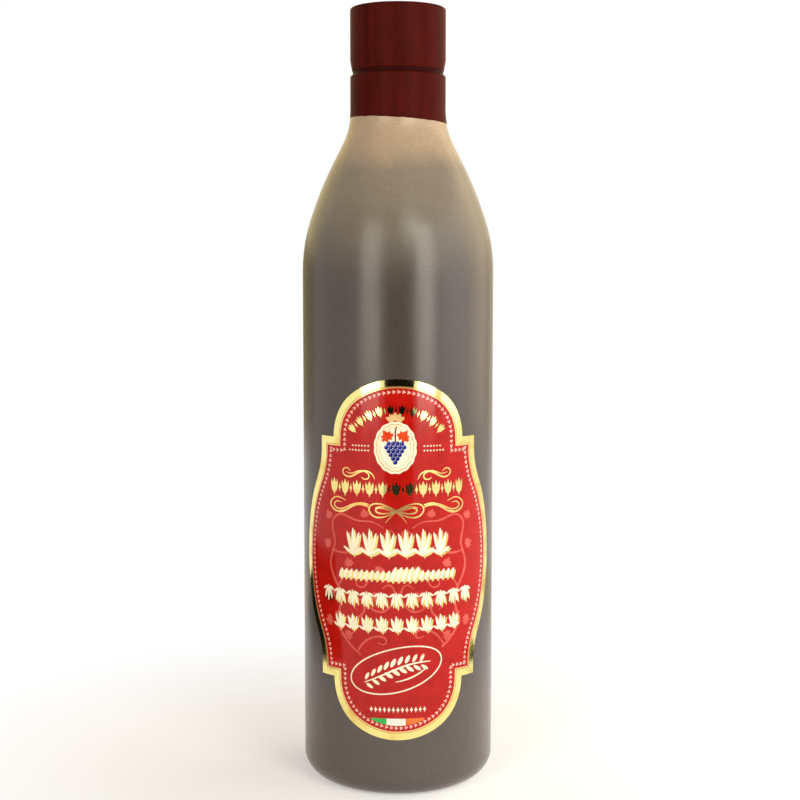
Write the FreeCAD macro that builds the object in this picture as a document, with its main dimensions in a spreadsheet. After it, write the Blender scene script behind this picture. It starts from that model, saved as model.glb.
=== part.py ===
import FreeCAD, Part
import math
import os
import Sketcher

# A squeeze bottle of balsamic glaze: blown bottle, the glaze in it, closure, shrink capsule, label.
# The frame's origin is the centre of the stand ring, +Z runs up the bottle and -Y faces the reader
# of the label. Lengths are millimetres and angles degrees.

PARTS_FOLDER = "parts"

# Point numbers that a sketch gives to the ends and the centre of its geometry.
START = 1
END = 2
CENTRE = 3
ORIGIN = (-1, 1)
LEVEL_AXIS = -1
UPRIGHT_AXIS = -2

# Expressions: the height of the closure's seat, which the bottle's own outline works out, and the
# thickness of nothing, for a surface that stands off by no wall or film.
SEAT_HEIGHT = "bottle_outside.Constraints.seat_height"
NOTHING = "0"

DIMENSIONS = (
    # Blown bottle, from the base up.
    ("body_radius", 30.5, "outside of the straight wall"),
    ("wall", 0.9, "thickness of the blown wall"),
    ("heel_radius", 7.5, "rounding between base and wall"),
    ("ring_inner_radius", 19.5, "inside edge of the flat stand ring"),
    ("push_up", 3.2, "rise of the domed base over the stand ring"),
    ("pinch_length", 25.0, "weld that the closing mould leaves across the base"),
    ("pinch_width", 0.8, "width of that weld"),
    ("pinch_depth", 0.35, "how far that weld stands out of the dome"),
    ("shoulder_start", 163.0, "height at which the wall starts to curve in"),
    ("lower_arc_radius", 54.6, "first shoulder arc"),
    ("lower_arc_sweep", 18.0, "angle that the first shoulder arc turns through"),
    ("shoulder_slope", 27.0, "steepest lean of the shoulder from upright"),
    ("shoulder_flat", 5.5, "straight stretch between the arcs"),
    ("neck_arc_radius", 25.1, "hollow arc that leads into the neck"),
    ("neck_radius", 15.0, "outside of neck and closure, which are flush"),
    ("neck_land", 1.2, "upright neck below the closure's seat"),
    ("finish_radius", 12.6, "outside of the tube inside the closure"),
    ("finish_wall", 1.7, "thickness of that tube"),
    ("finish_height", 14.0, "height of that tube over the seat"),
    # Contents.
    ("headspace", 17.6, "from the closure's seat down to the glaze"),
    # Flip-top closure, from its seat up.
    ("closure_clearance", 0.1, "gap round the tube inside the closure"),
    ("collar_height", 8.9, "lower half of the closure"),
    ("groove_depth", 0.8, "thumb groove between collar and lid"),
    ("groove_chamfer", 0.6, "height of the collar's sloping top edge"),
    ("groove_height", 0.9, "height of the groove's upright floor"),
    ("lip_rise", 0.4, "height of the slope from that floor out to the lid's lip"),
    ("bevel_height", 3.2, "height of the lid's bevelled lip"),
    ("bevel_depth", 0.55, "how far the lip leans in at its foot"),
    ("lid_height", 15.5, "plain side of the lid over its lip"),
    ("lid_edge_radius", 0.6, "rounding of the lid's top edge"),
    # Shrink capsule.
    ("film", 0.15, "thickness of the shrunk film"),
    ("film_reach", 4.9, "from the closure's seat down to the film's edge"),
    ("film_trim", 2.5, "length cut off below that edge"),
    ("film_slant", 3.6, "lean of the hand-cut edge, lowest on the right"),
    # Label, measured flat.
    ("label_lift", 11.7, "from the top of the heel to the label"),
    ("label_height", 111.8, "overall height"),
    ("label_width", 71.0, "width at the waistline"),
    ("label_step_width", 53.6, "width at the four square corners"),
    ("label_lobe_width", 42.8, "width of the round ends at their feet"),
    ("label_lobe_height", 18.3, "rise of the round ends over the corners"),
    ("label_lobe_sweep", 57.0, "angle of the tighter arcs at the sides of the round ends"),
    ("label_land", 3.6, "upright edge beside each corner"),
    ("label_hollow_radius", 20.8, "hollow arc of the waisted sides"),
    ("label_thickness", 0.2, "thickness of the label"),
)


def make_sheet(document):
    """Write the driving dimensions into a spreadsheet and give each cell its alias."""
    sheet = document.addObject("Spreadsheet::Sheet", "Sizes")
    for row, (alias, value, meaning) in enumerate(DIMENSIONS, start=1):
        sheet.set(f"A{row}", alias)
        sheet.set(f"B{row}", str(value))
        sheet.set(f"C{row}", meaning)
        sheet.setAlias(f"B{row}", alias)
    document.recompute()
    return sheet


def read_sizes(sheet):
    """Give the sheet's values by alias."""
    return {alias: float(sheet.get(alias)) for alias, _, _ in DIMENSIONS}


def value_of(size, expression):
    """Give the value of an expression that is one alias or NOTHING."""
    return 0.0 if expression == NOTHING else size[expression.removeprefix("Sizes.")]


class Chain:
    """Lines and arcs drawn end to end in a sketch, each joined to the one before it.

    The pen starts at a point with a heading. Dimensions are added to the piece drawn last,
    and each is tied to the spreadsheet by an expression.
    """

    def __init__(self, sketch, x, y, heading):
        self.sketch = sketch
        self.tip = FreeCAD.Vector(x, y, 0)
        self.heading = heading
        self.first = None
        self.last = None

    def _join(self, geometry, near_end, far_end, joint):
        index = self.sketch.addGeometry(geometry, False)
        if self.last is None:
            self.first = (index, near_end)
        else:
            self.relate(joint, *self.last, index, near_end)
        self.last = (index, far_end)

    def relate(self, kind, *where):
        """Add a geometric constraint that has no value."""
        self.sketch.addConstraint(Sketcher.Constraint(kind, *where))

    def line(self, length, joint="Coincident"):
        """Draw a straight piece along the heading."""
        angle = math.radians(self.heading)
        end = self.tip + FreeCAD.Vector(math.cos(angle), math.sin(angle), 0) * length
        self._join(Part.LineSegment(self.tip, end), START, END, joint)
        self.tip = end

    def slant(self, across, upward):
        """Draw a straight piece by how far it goes across and upward."""
        self.heading = math.degrees(math.atan2(upward, across))
        self.line(math.hypot(across, upward))

    def corner(self, heading, length, rule):
        """Draw a piece that is level or upright from a sharp corner."""
        self.heading = heading
        self.line(length)
        self.relate(rule, self.last[0])

    def arc(self, radius, turn, joint="Tangent"):
        """Draw an arc that turns the heading, to the left where the turn is positive."""
        side = math.copysign(90.0, turn)
        to_centre = math.radians(self.heading + side)
        centre = self.tip + FreeCAD.Vector(math.cos(to_centre), math.sin(to_centre), 0) * radius
        begin = self.heading - side
        low = math.radians(min(begin, begin + turn))
        high = math.radians(max(begin, begin + turn))
        circle = Part.Circle(centre, FreeCAD.Vector(0, 0, 1), radius)
        ends = (START, END) if turn > 0 else (END, START)
        self._join(Part.ArcOfCircle(circle, low, high), *ends, joint)
        finish = math.radians(begin + turn)
        self.tip = centre + FreeCAD.Vector(math.cos(finish), math.sin(finish), 0) * radius
        self.heading += turn

    def close(self):
        """Draw the last straight piece back to the chain's start."""
        begin = self.sketch.getPoint(*self.first)
        index = self.sketch.addGeometry(Part.LineSegment(self.tip, begin), False)
        self.relate("Coincident", *self.last, index, START)
        self.relate("Coincident", index, END, *self.first)
        self.last = (index, END)

    def _tie(self, name, expression, kind, *where):
        index = self.sketch.addConstraint(Sketcher.Constraint(kind, *where))
        self.sketch.renameConstraint(index, name)
        self.sketch.setExpression(f"Constraints.{name}", expression)

    def out(self, name, expression):
        """Tie how far to the right the pen stands."""
        self._tie(name, expression, "DistanceX", *ORIGIN, *self.last, self.tip.x)

    def up(self, name, expression):
        """Tie how high the pen stands."""
        self._tie(name, expression, "DistanceY", *ORIGIN, *self.last, self.tip.y)

    def depth(self, name, expression):
        """Tie how far below the origin the pen stands."""
        self._tie(name, expression, "DistanceY", *self.last, *ORIGIN, -self.tip.y)

    def start_out(self, name, expression):
        """Tie how far to the right the chain's first point stands."""
        width = self.sketch.getPoint(*self.first).x
        self._tie(name, expression, "DistanceX", *ORIGIN, *self.first, width)

    def start_up(self, name, expression):
        """Tie how high the chain's first point stands."""
        height = self.sketch.getPoint(*self.first).y
        self._tie(name, expression, "DistanceY", *ORIGIN, *self.first, height)

    def centre_down(self, name, expression):
        """Tie how far below the origin the centre of the arc drawn last lies."""
        index = self.last[0]
        depth = -self.sketch.getPoint(index, CENTRE).y
        self._tie(name, expression, "DistanceY", index, CENTRE, *ORIGIN, depth)

    def rise(self, name, expression):
        """Tie the height of the straight piece drawn last."""
        index = self.last[0]
        height = self.sketch.getPoint(index, END).y - self.sketch.getPoint(index, START).y
        self._tie(name, expression, "DistanceY", index, START, index, END, height)

    def long(self, name, expression):
        """Tie the length of the straight piece drawn last."""
        index = self.last[0]
        length = self.sketch.getPoint(index, START).distanceToPoint(self.sketch.getPoint(index, END))
        self._tie(name, expression, "Distance", index, length)

    def lean(self, name, expression):
        """Tie the heading of the straight piece drawn last."""
        self._tie(name, expression, "Angle", self.last[0], math.radians(self.heading))

    def radius(self, name, expression):
        """Tie the radius of the arc drawn last."""
        index = self.last[0]
        self._tie(name, expression, "Radius", index, self.sketch.Geometry[index].Radius)

    def sweep(self, name, expression):
        """Tie the angle that the arc drawn last turns through."""
        index = self.last[0]
        arc = self.sketch.Geometry[index]
        self._tie(name, expression, "Angle", index, arc.LastParameter - arc.FirstParameter)

    def report_height(self, name):
        """Name the pen's height as a reference dimension that other pieces can read."""
        constraint = Sketcher.Constraint("DistanceY", *ORIGIN, *self.last, self.tip.y)
        index = self.sketch.addConstraint(constraint)
        self.sketch.setDriving(index, False)
        self.sketch.renameConstraint(index, name)


def add_sketch(body, name, role="XZ_Plane"):
    """Add a sketch that lies on one of its own body's origin planes."""
    sketch = body.newObject("Sketcher::SketchObject", name)
    plane = next(item for item in body.Origin.OriginFeatures if item.Role == role)
    sketch.AttachmentSupport = (plane, [""])
    sketch.MapMode = "FlatFace"
    return sketch


def turn_solid(body, sketch, name, kind="PartDesign::Revolution"):
    """Turn a profile round the upright axis, to add material or, as a groove, to remove it."""
    feature = body.newObject(kind, name)
    feature.Profile = sketch
    feature.ReferenceAxis = (sketch, ["V_Axis"])
    feature.Angle = 360
    return feature


def add_body(document, name):
    """Add a body whose label names its file."""
    body = document.addObject("PartDesign::Body", f"{name}_body")
    body.Label = name
    return body


def draw_bottle(sketch, size, inset=NOTHING, mouth_inset=NOTHING):
    """Draw half of the bottle's outer surface, or its inner surface where an inset is named.

    Wall, arcs, straight and neck are tangent all the way. The upper shoulder arc has no radius
    of its own: it takes up what the others leave between body and neck.
    """
    gap = value_of(size, inset)
    mouth_gap = value_of(size, mouth_inset)
    ring = size["ring_inner_radius"]
    dome_radius = (ring ** 2 + size["push_up"] ** 2) / (2 * size["push_up"])
    low = math.radians(size["lower_arc_sweep"])
    steep = math.radians(size["shoulder_slope"])
    run = size["body_radius"] - size["neck_radius"]
    run -= (size["lower_arc_radius"] - gap) * (1 - math.cos(low))
    run -= size["shoulder_flat"] * math.sin(steep)
    run -= (size["neck_arc_radius"] + gap) * (1 - math.cos(steep))
    upper_arc_radius = run / (math.cos(low) - math.cos(steep))

    outline = Chain(sketch, 0, size["push_up"] + gap, 0)
    outline.arc(dome_radius, -math.degrees(math.asin(ring / dome_radius)))
    dome = outline.last[0]
    outline.relate("PointOnObject", *outline.first, UPRIGHT_AXIS)
    outline.relate("PointOnObject", dome, CENTRE, UPRIGHT_AXIS)
    outline.out("ring_inner_radius", "Sizes.ring_inner_radius")
    outline.up("base_height", inset)
    outline.start_up("dome_height", f"Sizes.push_up + {inset}")
    outline.corner(0, size["body_radius"] - size["heel_radius"] - ring, "Horizontal")
    outline.arc(size["heel_radius"] - gap, 90)
    outline.radius("heel_radius", f"Sizes.heel_radius - {inset}")
    outline.line(size["shoulder_start"] - size["heel_radius"], "Tangent")
    outline.relate("Vertical", outline.last[0])
    outline.out("body_radius", f"Sizes.body_radius - {inset}")
    outline.up("shoulder_start", "Sizes.shoulder_start")
    outline.arc(size["lower_arc_radius"] - gap, size["lower_arc_sweep"])
    outline.radius("lower_arc_radius", f"Sizes.lower_arc_radius - {inset}")
    outline.sweep("lower_arc_sweep", "Sizes.lower_arc_sweep")
    outline.arc(upper_arc_radius, size["shoulder_slope"] - size["lower_arc_sweep"])
    outline.line(size["shoulder_flat"], "Tangent")
    outline.long("shoulder_flat", "Sizes.shoulder_flat")
    outline.lean("shoulder_slope", "90 + Sizes.shoulder_slope")
    outline.arc(size["neck_arc_radius"] + gap, -size["shoulder_slope"])
    outline.radius("neck_arc_radius", f"Sizes.neck_arc_radius + {inset}")
    outline.line(size["neck_land"] - gap, "Tangent")
    outline.relate("Vertical", outline.last[0])
    outline.out("neck_radius", f"Sizes.neck_radius - {inset}")
    outline.rise("neck_land", f"Sizes.neck_land - {inset}")
    outline.report_height("seat_height")
    mouth = size["finish_radius"] - mouth_gap
    outline.corner(180, size["neck_radius"] - gap - mouth, "Horizontal")
    outline.corner(90, size["finish_height"] + gap, "Vertical")
    outline.out("finish_radius", f"Sizes.finish_radius - {mouth_inset}")
    outline.rise("finish_height", f"Sizes.finish_height + {inset}")
    outline.corner(180, mouth, "Horizontal")
    outline.relate("PointOnObject", *outline.last, UPRIGHT_AXIS)
    outline.close()


def make_bottle(document, size):
    """Blow-moulded bottle: its outside, hollowed by its inside, with the weld across the base."""
    body = add_body(document, "bottle")
    outside = add_sketch(body, "bottle_outside")
    draw_bottle(outside, size)
    turn_solid(body, outside, "bottle_form")
    inside = add_sketch(body, "bottle_inside")
    draw_bottle(inside, size, "Sizes.wall", "Sizes.finish_wall")
    turn_solid(body, inside, "bottle_hollow", "PartDesign::Groove")
    add_pinch_off(body, size)
    return body


def add_pinch_off(body, size):
    """Raise the weld that runs across the domed base, where the mould halves pinch it shut."""
    dome_radius = (size["ring_inner_radius"] ** 2 + size["push_up"] ** 2) / (2 * size["push_up"])
    half_angle = math.degrees(math.asin(size["pinch_length"] / 2 / dome_radius))
    drop = dome_radius * (1 - math.cos(math.radians(half_angle)))
    low_end = size["push_up"] - size["pinch_depth"] - drop
    depth = size["pinch_depth"] + size["wall"] / 2
    dome = "(Sizes.ring_inner_radius ^ 2 + Sizes.push_up ^ 2) / (2 * Sizes.push_up)"

    sketch = add_sketch(body, "pinch_profile")
    outline = Chain(sketch, -size["pinch_length"] / 2, low_end, half_angle)
    outline.arc(dome_radius, -2 * half_angle)
    lower = outline.last[0]
    outline.relate("PointOnObject", lower, CENTRE, UPRIGHT_AXIS)
    outline.relate("Horizontal", lower, START, lower, END)
    outline.radius("lower_radius", dome)
    outline.out("half_length", "Sizes.pinch_length / 2")
    outline.centre_down("lower_centre", f"{dome} - Sizes.push_up + Sizes.pinch_depth")
    outline.corner(90, depth, "Vertical")
    outline.rise("depth", "Sizes.pinch_depth + Sizes.wall / 2")
    outline.heading = 180 - half_angle
    outline.arc(dome_radius, 2 * half_angle, "Coincident")
    outline.relate("Equal", lower, outline.last[0])
    outline.relate("PointOnObject", outline.last[0], CENTRE, UPRIGHT_AXIS)
    outline.close()
    outline.relate("Vertical", outline.last[0])

    weld = body.newObject("PartDesign::Pad", "pinch_off")
    weld.Profile = sketch
    weld.SideType = "Symmetric"
    weld.setExpression("Length", "Sizes.pinch_width")


def add_disc(body, name, radius, expression):
    """Add a sketch of one circle about the upright axis, level with the body's own base plane."""
    sketch = add_sketch(body, name, "XY_Plane")
    circle = Part.Circle(FreeCAD.Vector(), FreeCAD.Vector(0, 0, 1), radius)
    index = sketch.addGeometry(circle, False)
    sketch.addConstraint(Sketcher.Constraint("Coincident", index, CENTRE, *ORIGIN))
    radius_rule = sketch.addConstraint(Sketcher.Constraint("Radius", index, radius))
    sketch.setExpression(f"Constraints[{radius_rule}]", expression)
    return sketch


def make_glaze(document, size):
    """Glaze that fills the bottle's inside, cut off at its level."""
    body = add_body(document, "glaze")
    inside = add_sketch(body, "glaze_outline")
    draw_bottle(inside, size, "Sizes.wall", "Sizes.finish_wall")
    turn_solid(body, inside, "glaze_form")
    level = add_disc(body, "glaze_level", size["body_radius"], "Sizes.body_radius")
    level.setExpression("AttachmentOffset.Base.z", f"{SEAT_HEIGHT} - Sizes.headspace * 1 mm")
    cut = body.newObject("PartDesign::Pocket", "glaze_cut")
    cut.Profile = level
    cut.Type = "ThroughAll"
    cut.Reversed = True
    return body


def draw_closure(outline, size, skin):
    """Draw the closure's side from its collar up and over its top to the axis.

    The skin is the thickness of film over the closure: every face moves out by it.
    """
    gap = value_of(size, skin)
    outline.slant(-size["groove_depth"], size["groove_chamfer"])
    outline.rise("groove_chamfer", "Sizes.groove_chamfer")
    outline.corner(90, size["groove_height"], "Vertical")
    outline.out("groove_radius", f"Sizes.neck_radius - Sizes.groove_depth + {skin}")
    outline.rise("groove_height", "Sizes.groove_height")
    outline.slant(size["groove_depth"] - size["bevel_depth"], size["lip_rise"])
    outline.out("lip_radius", f"Sizes.neck_radius - Sizes.bevel_depth + {skin}")
    outline.rise("lip_rise", "Sizes.lip_rise")
    outline.slant(size["bevel_depth"], size["bevel_height"])
    outline.rise("bevel_height", "Sizes.bevel_height")
    outline.corner(90, size["lid_height"], "Vertical")
    outline.out("lid_radius", f"Sizes.neck_radius + {skin}")
    outline.rise("lid_height", "Sizes.lid_height")
    outline.arc(size["lid_edge_radius"] + gap, 90)
    outline.radius("lid_edge_radius", f"Sizes.lid_edge_radius + {skin}")
    outline.line(size["neck_radius"] - size["lid_edge_radius"], "Tangent")
    outline.relate("Horizontal", outline.last[0])
    outline.relate("PointOnObject", *outline.last, UPRIGHT_AXIS)
    outline.close()


def make_closure(document, size):
    """Shut flip-top closure: collar, thumb groove and lid, with a socket that the neck fills."""
    body = add_body(document, "closure")
    profile = add_sketch(body, "closure_profile")
    outline = Chain(profile, 0, 0, 0)
    outline.line(size["neck_radius"])
    outline.relate("Coincident", *outline.first, *ORIGIN)
    outline.relate("Horizontal", outline.last[0])
    outline.out("closure_radius", "Sizes.neck_radius")
    outline.corner(90, size["collar_height"], "Vertical")
    outline.rise("collar_height", "Sizes.collar_height")
    draw_closure(outline, size, NOTHING)
    turn_solid(body, profile, "closure_form")

    socket_radius = size["finish_radius"] + size["closure_clearance"]
    expression = "Sizes.finish_radius + Sizes.closure_clearance"
    socket = body.newObject("PartDesign::Pocket", "closure_socket")
    socket.Profile = add_disc(body, "socket_outline", socket_radius, expression)
    socket.Reversed = True
    socket.setExpression("Length", "Sizes.finish_height")
    body.Tip = socket
    body.setExpression("Placement.Base.z", SEAT_HEIGHT)
    return body


def draw_capsule(sketch, size, skin):
    """Draw half of the capsule's inner surface, or its outer surface where a skin is named."""
    gap = value_of(size, skin)
    depth = size["film_reach"] + size["film_trim"]
    radius = size["neck_arc_radius"] - gap
    sweep = math.asin((depth - size["neck_land"]) / radius)
    foot = size["neck_radius"] + size["neck_arc_radius"] - radius * math.cos(sweep)

    outline = Chain(sketch, 0, -depth, 0)
    outline.line(foot)
    outline.relate("PointOnObject", *outline.first, UPRIGHT_AXIS)
    outline.relate("Horizontal", outline.last[0])
    outline.depth("foot_depth", "Sizes.film_reach + Sizes.film_trim")
    outline.heading = 90 + math.degrees(sweep)
    outline.arc(radius, -math.degrees(sweep), "Coincident")
    outline.radius("neck_arc_radius", f"Sizes.neck_arc_radius - {skin}")
    outline.line(size["neck_land"] + size["collar_height"], "Tangent")
    outline.relate("Vertical", outline.last[0])
    outline.out("capsule_radius", f"Sizes.neck_radius + {skin}")
    outline.up("collar_height", "Sizes.collar_height")
    outline.rise("straight_height", "Sizes.neck_land + Sizes.collar_height")
    draw_closure(outline, size, skin)


def make_capsule(document, size):
    """Shrink capsule: a thin film over closure and neck, its edge cut a little askew."""
    body = add_body(document, "capsule")
    outside = add_sketch(body, "capsule_outside")
    draw_capsule(outside, size, "Sizes.film")
    turn_solid(body, outside, "capsule_form")
    inside = add_sketch(body, "capsule_inside")
    draw_capsule(inside, size, NOTHING)
    turn_solid(body, inside, "capsule_hollow", "PartDesign::Groove")
    trim_capsule(body, size)
    body.setExpression("Placement.Base.z", SEAT_HEIGHT)
    return body


def trim_capsule(body, size):
    """Cut the film's lower end off along a slanting line."""
    sketch = add_sketch(body, "capsule_trim_line")
    sketch.setExpression("AttachmentOffset.Base.y", "-Sizes.film_reach")
    sketch.setExpression("AttachmentOffset.Rotation.Angle", "-Sizes.film_slant")
    outline = Chain(sketch, -size["body_radius"], 0, 0)
    outline.line(2 * size["body_radius"])
    edge = outline.last[0]
    outline.relate("Horizontal", edge)
    outline.relate("Symmetric", edge, START, edge, END, *ORIGIN)
    outline.out("half_width", "Sizes.body_radius")
    outline.corner(270, size["body_radius"], "Vertical")
    outline.long("depth", "Sizes.body_radius")
    outline.corner(180, 2 * size["body_radius"], "Horizontal")
    outline.close()
    outline.relate("Vertical", outline.last[0])
    cut = body.newObject("PartDesign::Pocket", "capsule_trim")
    cut.Profile = sketch
    cut.Type = "ThroughAll"
    cut.SideType = "Symmetric"


def draw_label_quarter(document, size):
    """Draw the upper right quarter of the label, flat: waisted side, square corner, round end."""
    half_width = size["label_width"] / 2
    half_step = size["label_step_width"] / 2
    half_lobe = size["label_lobe_width"] / 2
    corner_height = size["label_height"] / 2 - size["label_lobe_height"]
    run = half_width - half_step
    rise = corner_height - size["label_land"]
    lean = 2 * math.atan2(run, rise)
    swell_radius = rise / math.sin(lean) - size["label_hollow_radius"]
    sweep = math.radians(size["label_lobe_sweep"])
    side_radius = size["label_lobe_height"] * math.cos(sweep) - half_lobe * (1 - math.sin(sweep))
    side_radius /= math.cos(sweep) + math.sin(sweep) - 1
    crown_radius = (half_lobe - side_radius * (1 - math.cos(sweep))) / math.cos(sweep)

    sketch = document.addObject("Sketcher::SketchObject", "label_quarter")
    outline = Chain(sketch, half_width, 0, 90)
    outline.arc(swell_radius, math.degrees(lean))
    outline.relate("PointOnObject", *outline.first, LEVEL_AXIS)
    outline.relate("PointOnObject", outline.last[0], CENTRE, LEVEL_AXIS)
    outline.start_out("half_width", "Sizes.label_width / 2")
    outline.arc(size["label_hollow_radius"], -math.degrees(lean))
    outline.radius("hollow_radius", "Sizes.label_hollow_radius")
    outline.line(size["label_land"], "Tangent")
    outline.relate("Vertical", outline.last[0])
    outline.long("land", "Sizes.label_land")
    outline.out("half_step", "Sizes.label_step_width / 2")
    outline.up("corner_height", "Sizes.label_height / 2 - Sizes.label_lobe_height")
    outline.corner(180, half_step - half_lobe, "Horizontal")
    outline.out("half_lobe", "Sizes.label_lobe_width / 2")
    outline.heading = 90
    outline.arc(side_radius, size["label_lobe_sweep"], "Coincident")
    outline.sweep("lobe_sweep", "Sizes.label_lobe_sweep")
    side = outline.last[0]
    outline.relate("Horizontal", side, CENTRE, side, START)
    outline.arc(crown_radius, 90 - size["label_lobe_sweep"])
    outline.relate("PointOnObject", outline.last[0], CENTRE, UPRIGHT_AXIS)
    outline.relate("PointOnObject", *outline.last, UPRIGHT_AXIS)
    outline.up("half_height", "Sizes.label_height / 2")
    return sketch


def wrap(edge, radius, cylinder):
    """Lay a flat edge on a cylinder: its x runs round at the given radius, its y along the axis."""
    curve = edge.Curve.toBSpline(edge.FirstParameter, edge.LastParameter)
    poles = [
        FreeCAD.Base.Vector2d(math.pi + pole.x / radius, pole.y) for pole in curve.getPoles()
    ]
    flat = Part.Geom2d.BSplineCurve2d()
    flat.buildFromPolesMultsKnots(
        poles, curve.getMultiplicities(), curve.getKnots(), False, curve.Degree, curve.getWeights()
    )
    return flat.toShape(cylinder)


def make_label(document, size):
    """Label cut flat from the mirrored quarter and wrapped face to face round the bottle."""
    quarter = draw_label_quarter(document, size)
    document.recompute()
    half = list(quarter.Shape.Edges)
    half += quarter.Shape.mirror(FreeCAD.Vector(), FreeCAD.Vector(0, 1, 0)).Edges
    flat = half + Part.Compound(half).mirror(FreeCAD.Vector(), FreeCAD.Vector(1, 0, 0)).Edges
    flat = Part.sortEdges(flat)[0]

    radius = size["body_radius"]
    rims = []
    faces = []
    for reach in (radius, radius + size["label_thickness"]):
        cylinder = Part.Cylinder()
        cylinder.Radius = reach
        rim = [wrap(edge, radius, cylinder) for edge in flat]
        rims.append(rim)
        faces.append(Part.Face(cylinder, Part.Wire(rim)))
    faces += [Part.makeRuledSurface(inner, outer) for inner, outer in zip(*rims)]
    shell = Part.makeShell(faces)
    shell.sewShape()

    label = document.addObject("Part::Feature", "label_solid")
    label.Label = "label"
    label.Shape = Part.Solid(shell)
    label.Placement.Rotation = FreeCAD.Rotation(FreeCAD.Vector(0, 0, 1), 90)
    middle = "Sizes.heel_radius + Sizes.label_lift + Sizes.label_height / 2"
    label.setExpression("Placement.Base.z", middle)
    return label


def check_document(document, pieces):
    """Stop if an object failed, if a cut removed nothing or if a piece is not a valid solid."""
    for item in document.Objects:
        if {"Invalid", "Error"} & set(item.State):
            raise RuntimeError(f"{item.Name} failed: {item.State}")
        if item.TypeId in ("PartDesign::Pocket", "PartDesign::Groove"):
            if item.Shape.Volume >= item.BaseFeature.Shape.Volume:
                raise RuntimeError(f"{item.Name} cuts nothing")
    for piece in pieces:
        shape = piece.Shape
        if shape.isNull() or not shape.isValid() or len(shape.Solids) != 1:
            raise RuntimeError(f"{piece.Label} is not one valid solid")


def main():
    """Build the document, check it and write one file for each piece."""
    document = FreeCAD.newDocument("glaze_bottle")
    size = read_sizes(make_sheet(document))
    makers = (make_bottle, make_glaze, make_closure, make_capsule, make_label)
    pieces = [make(document, size) for make in makers]
    document.recompute()
    check_document(document, pieces)
    os.makedirs(PARTS_FOLDER, exist_ok=True)
    for piece in pieces:
        piece.Shape.exportStep(f"{PARTS_FOLDER}/{piece.Label}.step")
        box = piece.Shape.BoundBox
        print(f"{piece.Label}: {piece.Shape.Volume / 1000:.2f} ml, z {box.ZMin:.2f} to {box.ZMax:.2f}")


main()
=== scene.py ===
"""Dressed model of a balsamic glaze bottle: frosted wall, shrink capsule and printed label.

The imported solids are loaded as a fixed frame, in metres, +Z up, with the label facing -Y. Sizes in
the classes are millimetres and degrees, as on a drawing, and the studio's are metres. Flat work for
the label is drawn by places `across`, to the reader's right, and `up`, from the label's centre.
"""

from __future__ import annotations

import logging
import math
import sys
from dataclasses import dataclass, field, replace
from enum import Enum
from typing import Callable, Iterable, Sequence, Union

import bpy
from mathutils import Euler, Matrix, Vector

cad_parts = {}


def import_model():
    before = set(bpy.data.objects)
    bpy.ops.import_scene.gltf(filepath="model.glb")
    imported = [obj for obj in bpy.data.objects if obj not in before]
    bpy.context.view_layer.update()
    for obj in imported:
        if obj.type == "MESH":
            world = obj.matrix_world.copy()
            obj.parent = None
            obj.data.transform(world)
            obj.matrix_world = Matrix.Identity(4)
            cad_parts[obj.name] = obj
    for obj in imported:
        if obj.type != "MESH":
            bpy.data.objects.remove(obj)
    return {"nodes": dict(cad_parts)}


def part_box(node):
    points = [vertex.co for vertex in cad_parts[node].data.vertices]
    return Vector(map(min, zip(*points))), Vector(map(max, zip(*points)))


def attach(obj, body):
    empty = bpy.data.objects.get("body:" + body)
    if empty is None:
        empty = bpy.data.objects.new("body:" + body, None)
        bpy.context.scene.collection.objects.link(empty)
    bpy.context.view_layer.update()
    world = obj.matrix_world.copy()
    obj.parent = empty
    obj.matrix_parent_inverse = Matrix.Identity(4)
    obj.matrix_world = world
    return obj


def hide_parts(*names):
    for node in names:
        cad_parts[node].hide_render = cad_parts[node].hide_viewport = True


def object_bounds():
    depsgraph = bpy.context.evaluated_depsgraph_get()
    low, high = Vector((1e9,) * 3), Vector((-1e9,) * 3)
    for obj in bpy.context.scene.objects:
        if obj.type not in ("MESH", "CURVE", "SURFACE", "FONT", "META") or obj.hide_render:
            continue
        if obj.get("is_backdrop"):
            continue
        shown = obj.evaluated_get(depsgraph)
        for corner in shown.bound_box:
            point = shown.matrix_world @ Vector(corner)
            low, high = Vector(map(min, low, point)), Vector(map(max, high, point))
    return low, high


LOG = logging.getLogger("glaze_bottle")
MM = 0.001
BODY = "root"

Point = tuple[float, float]
Colour = tuple[float, float, float]


def linear(red: float, green: float, blue: float) -> Colour:
    """Turn a display colour into the linear colour that shaders use.

    Args:
        red: The red channel, from 0 to 255.
        green: The green channel.
        blue: The blue channel.

    Returns:
        The linear colour, from 0 to 1.
    """

    def channel(value: float) -> float:
        """Return one channel as a linear value."""
        share = value / 255
        return share / 12.92 if share <= 0.04045 else ((share + 0.055) / 1.055) ** 2.4

    return channel(red), channel(green), channel(blue)


# ---------------------------------------------------------------------------------------------
# Shader maths
# ---------------------------------------------------------------------------------------------


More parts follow.
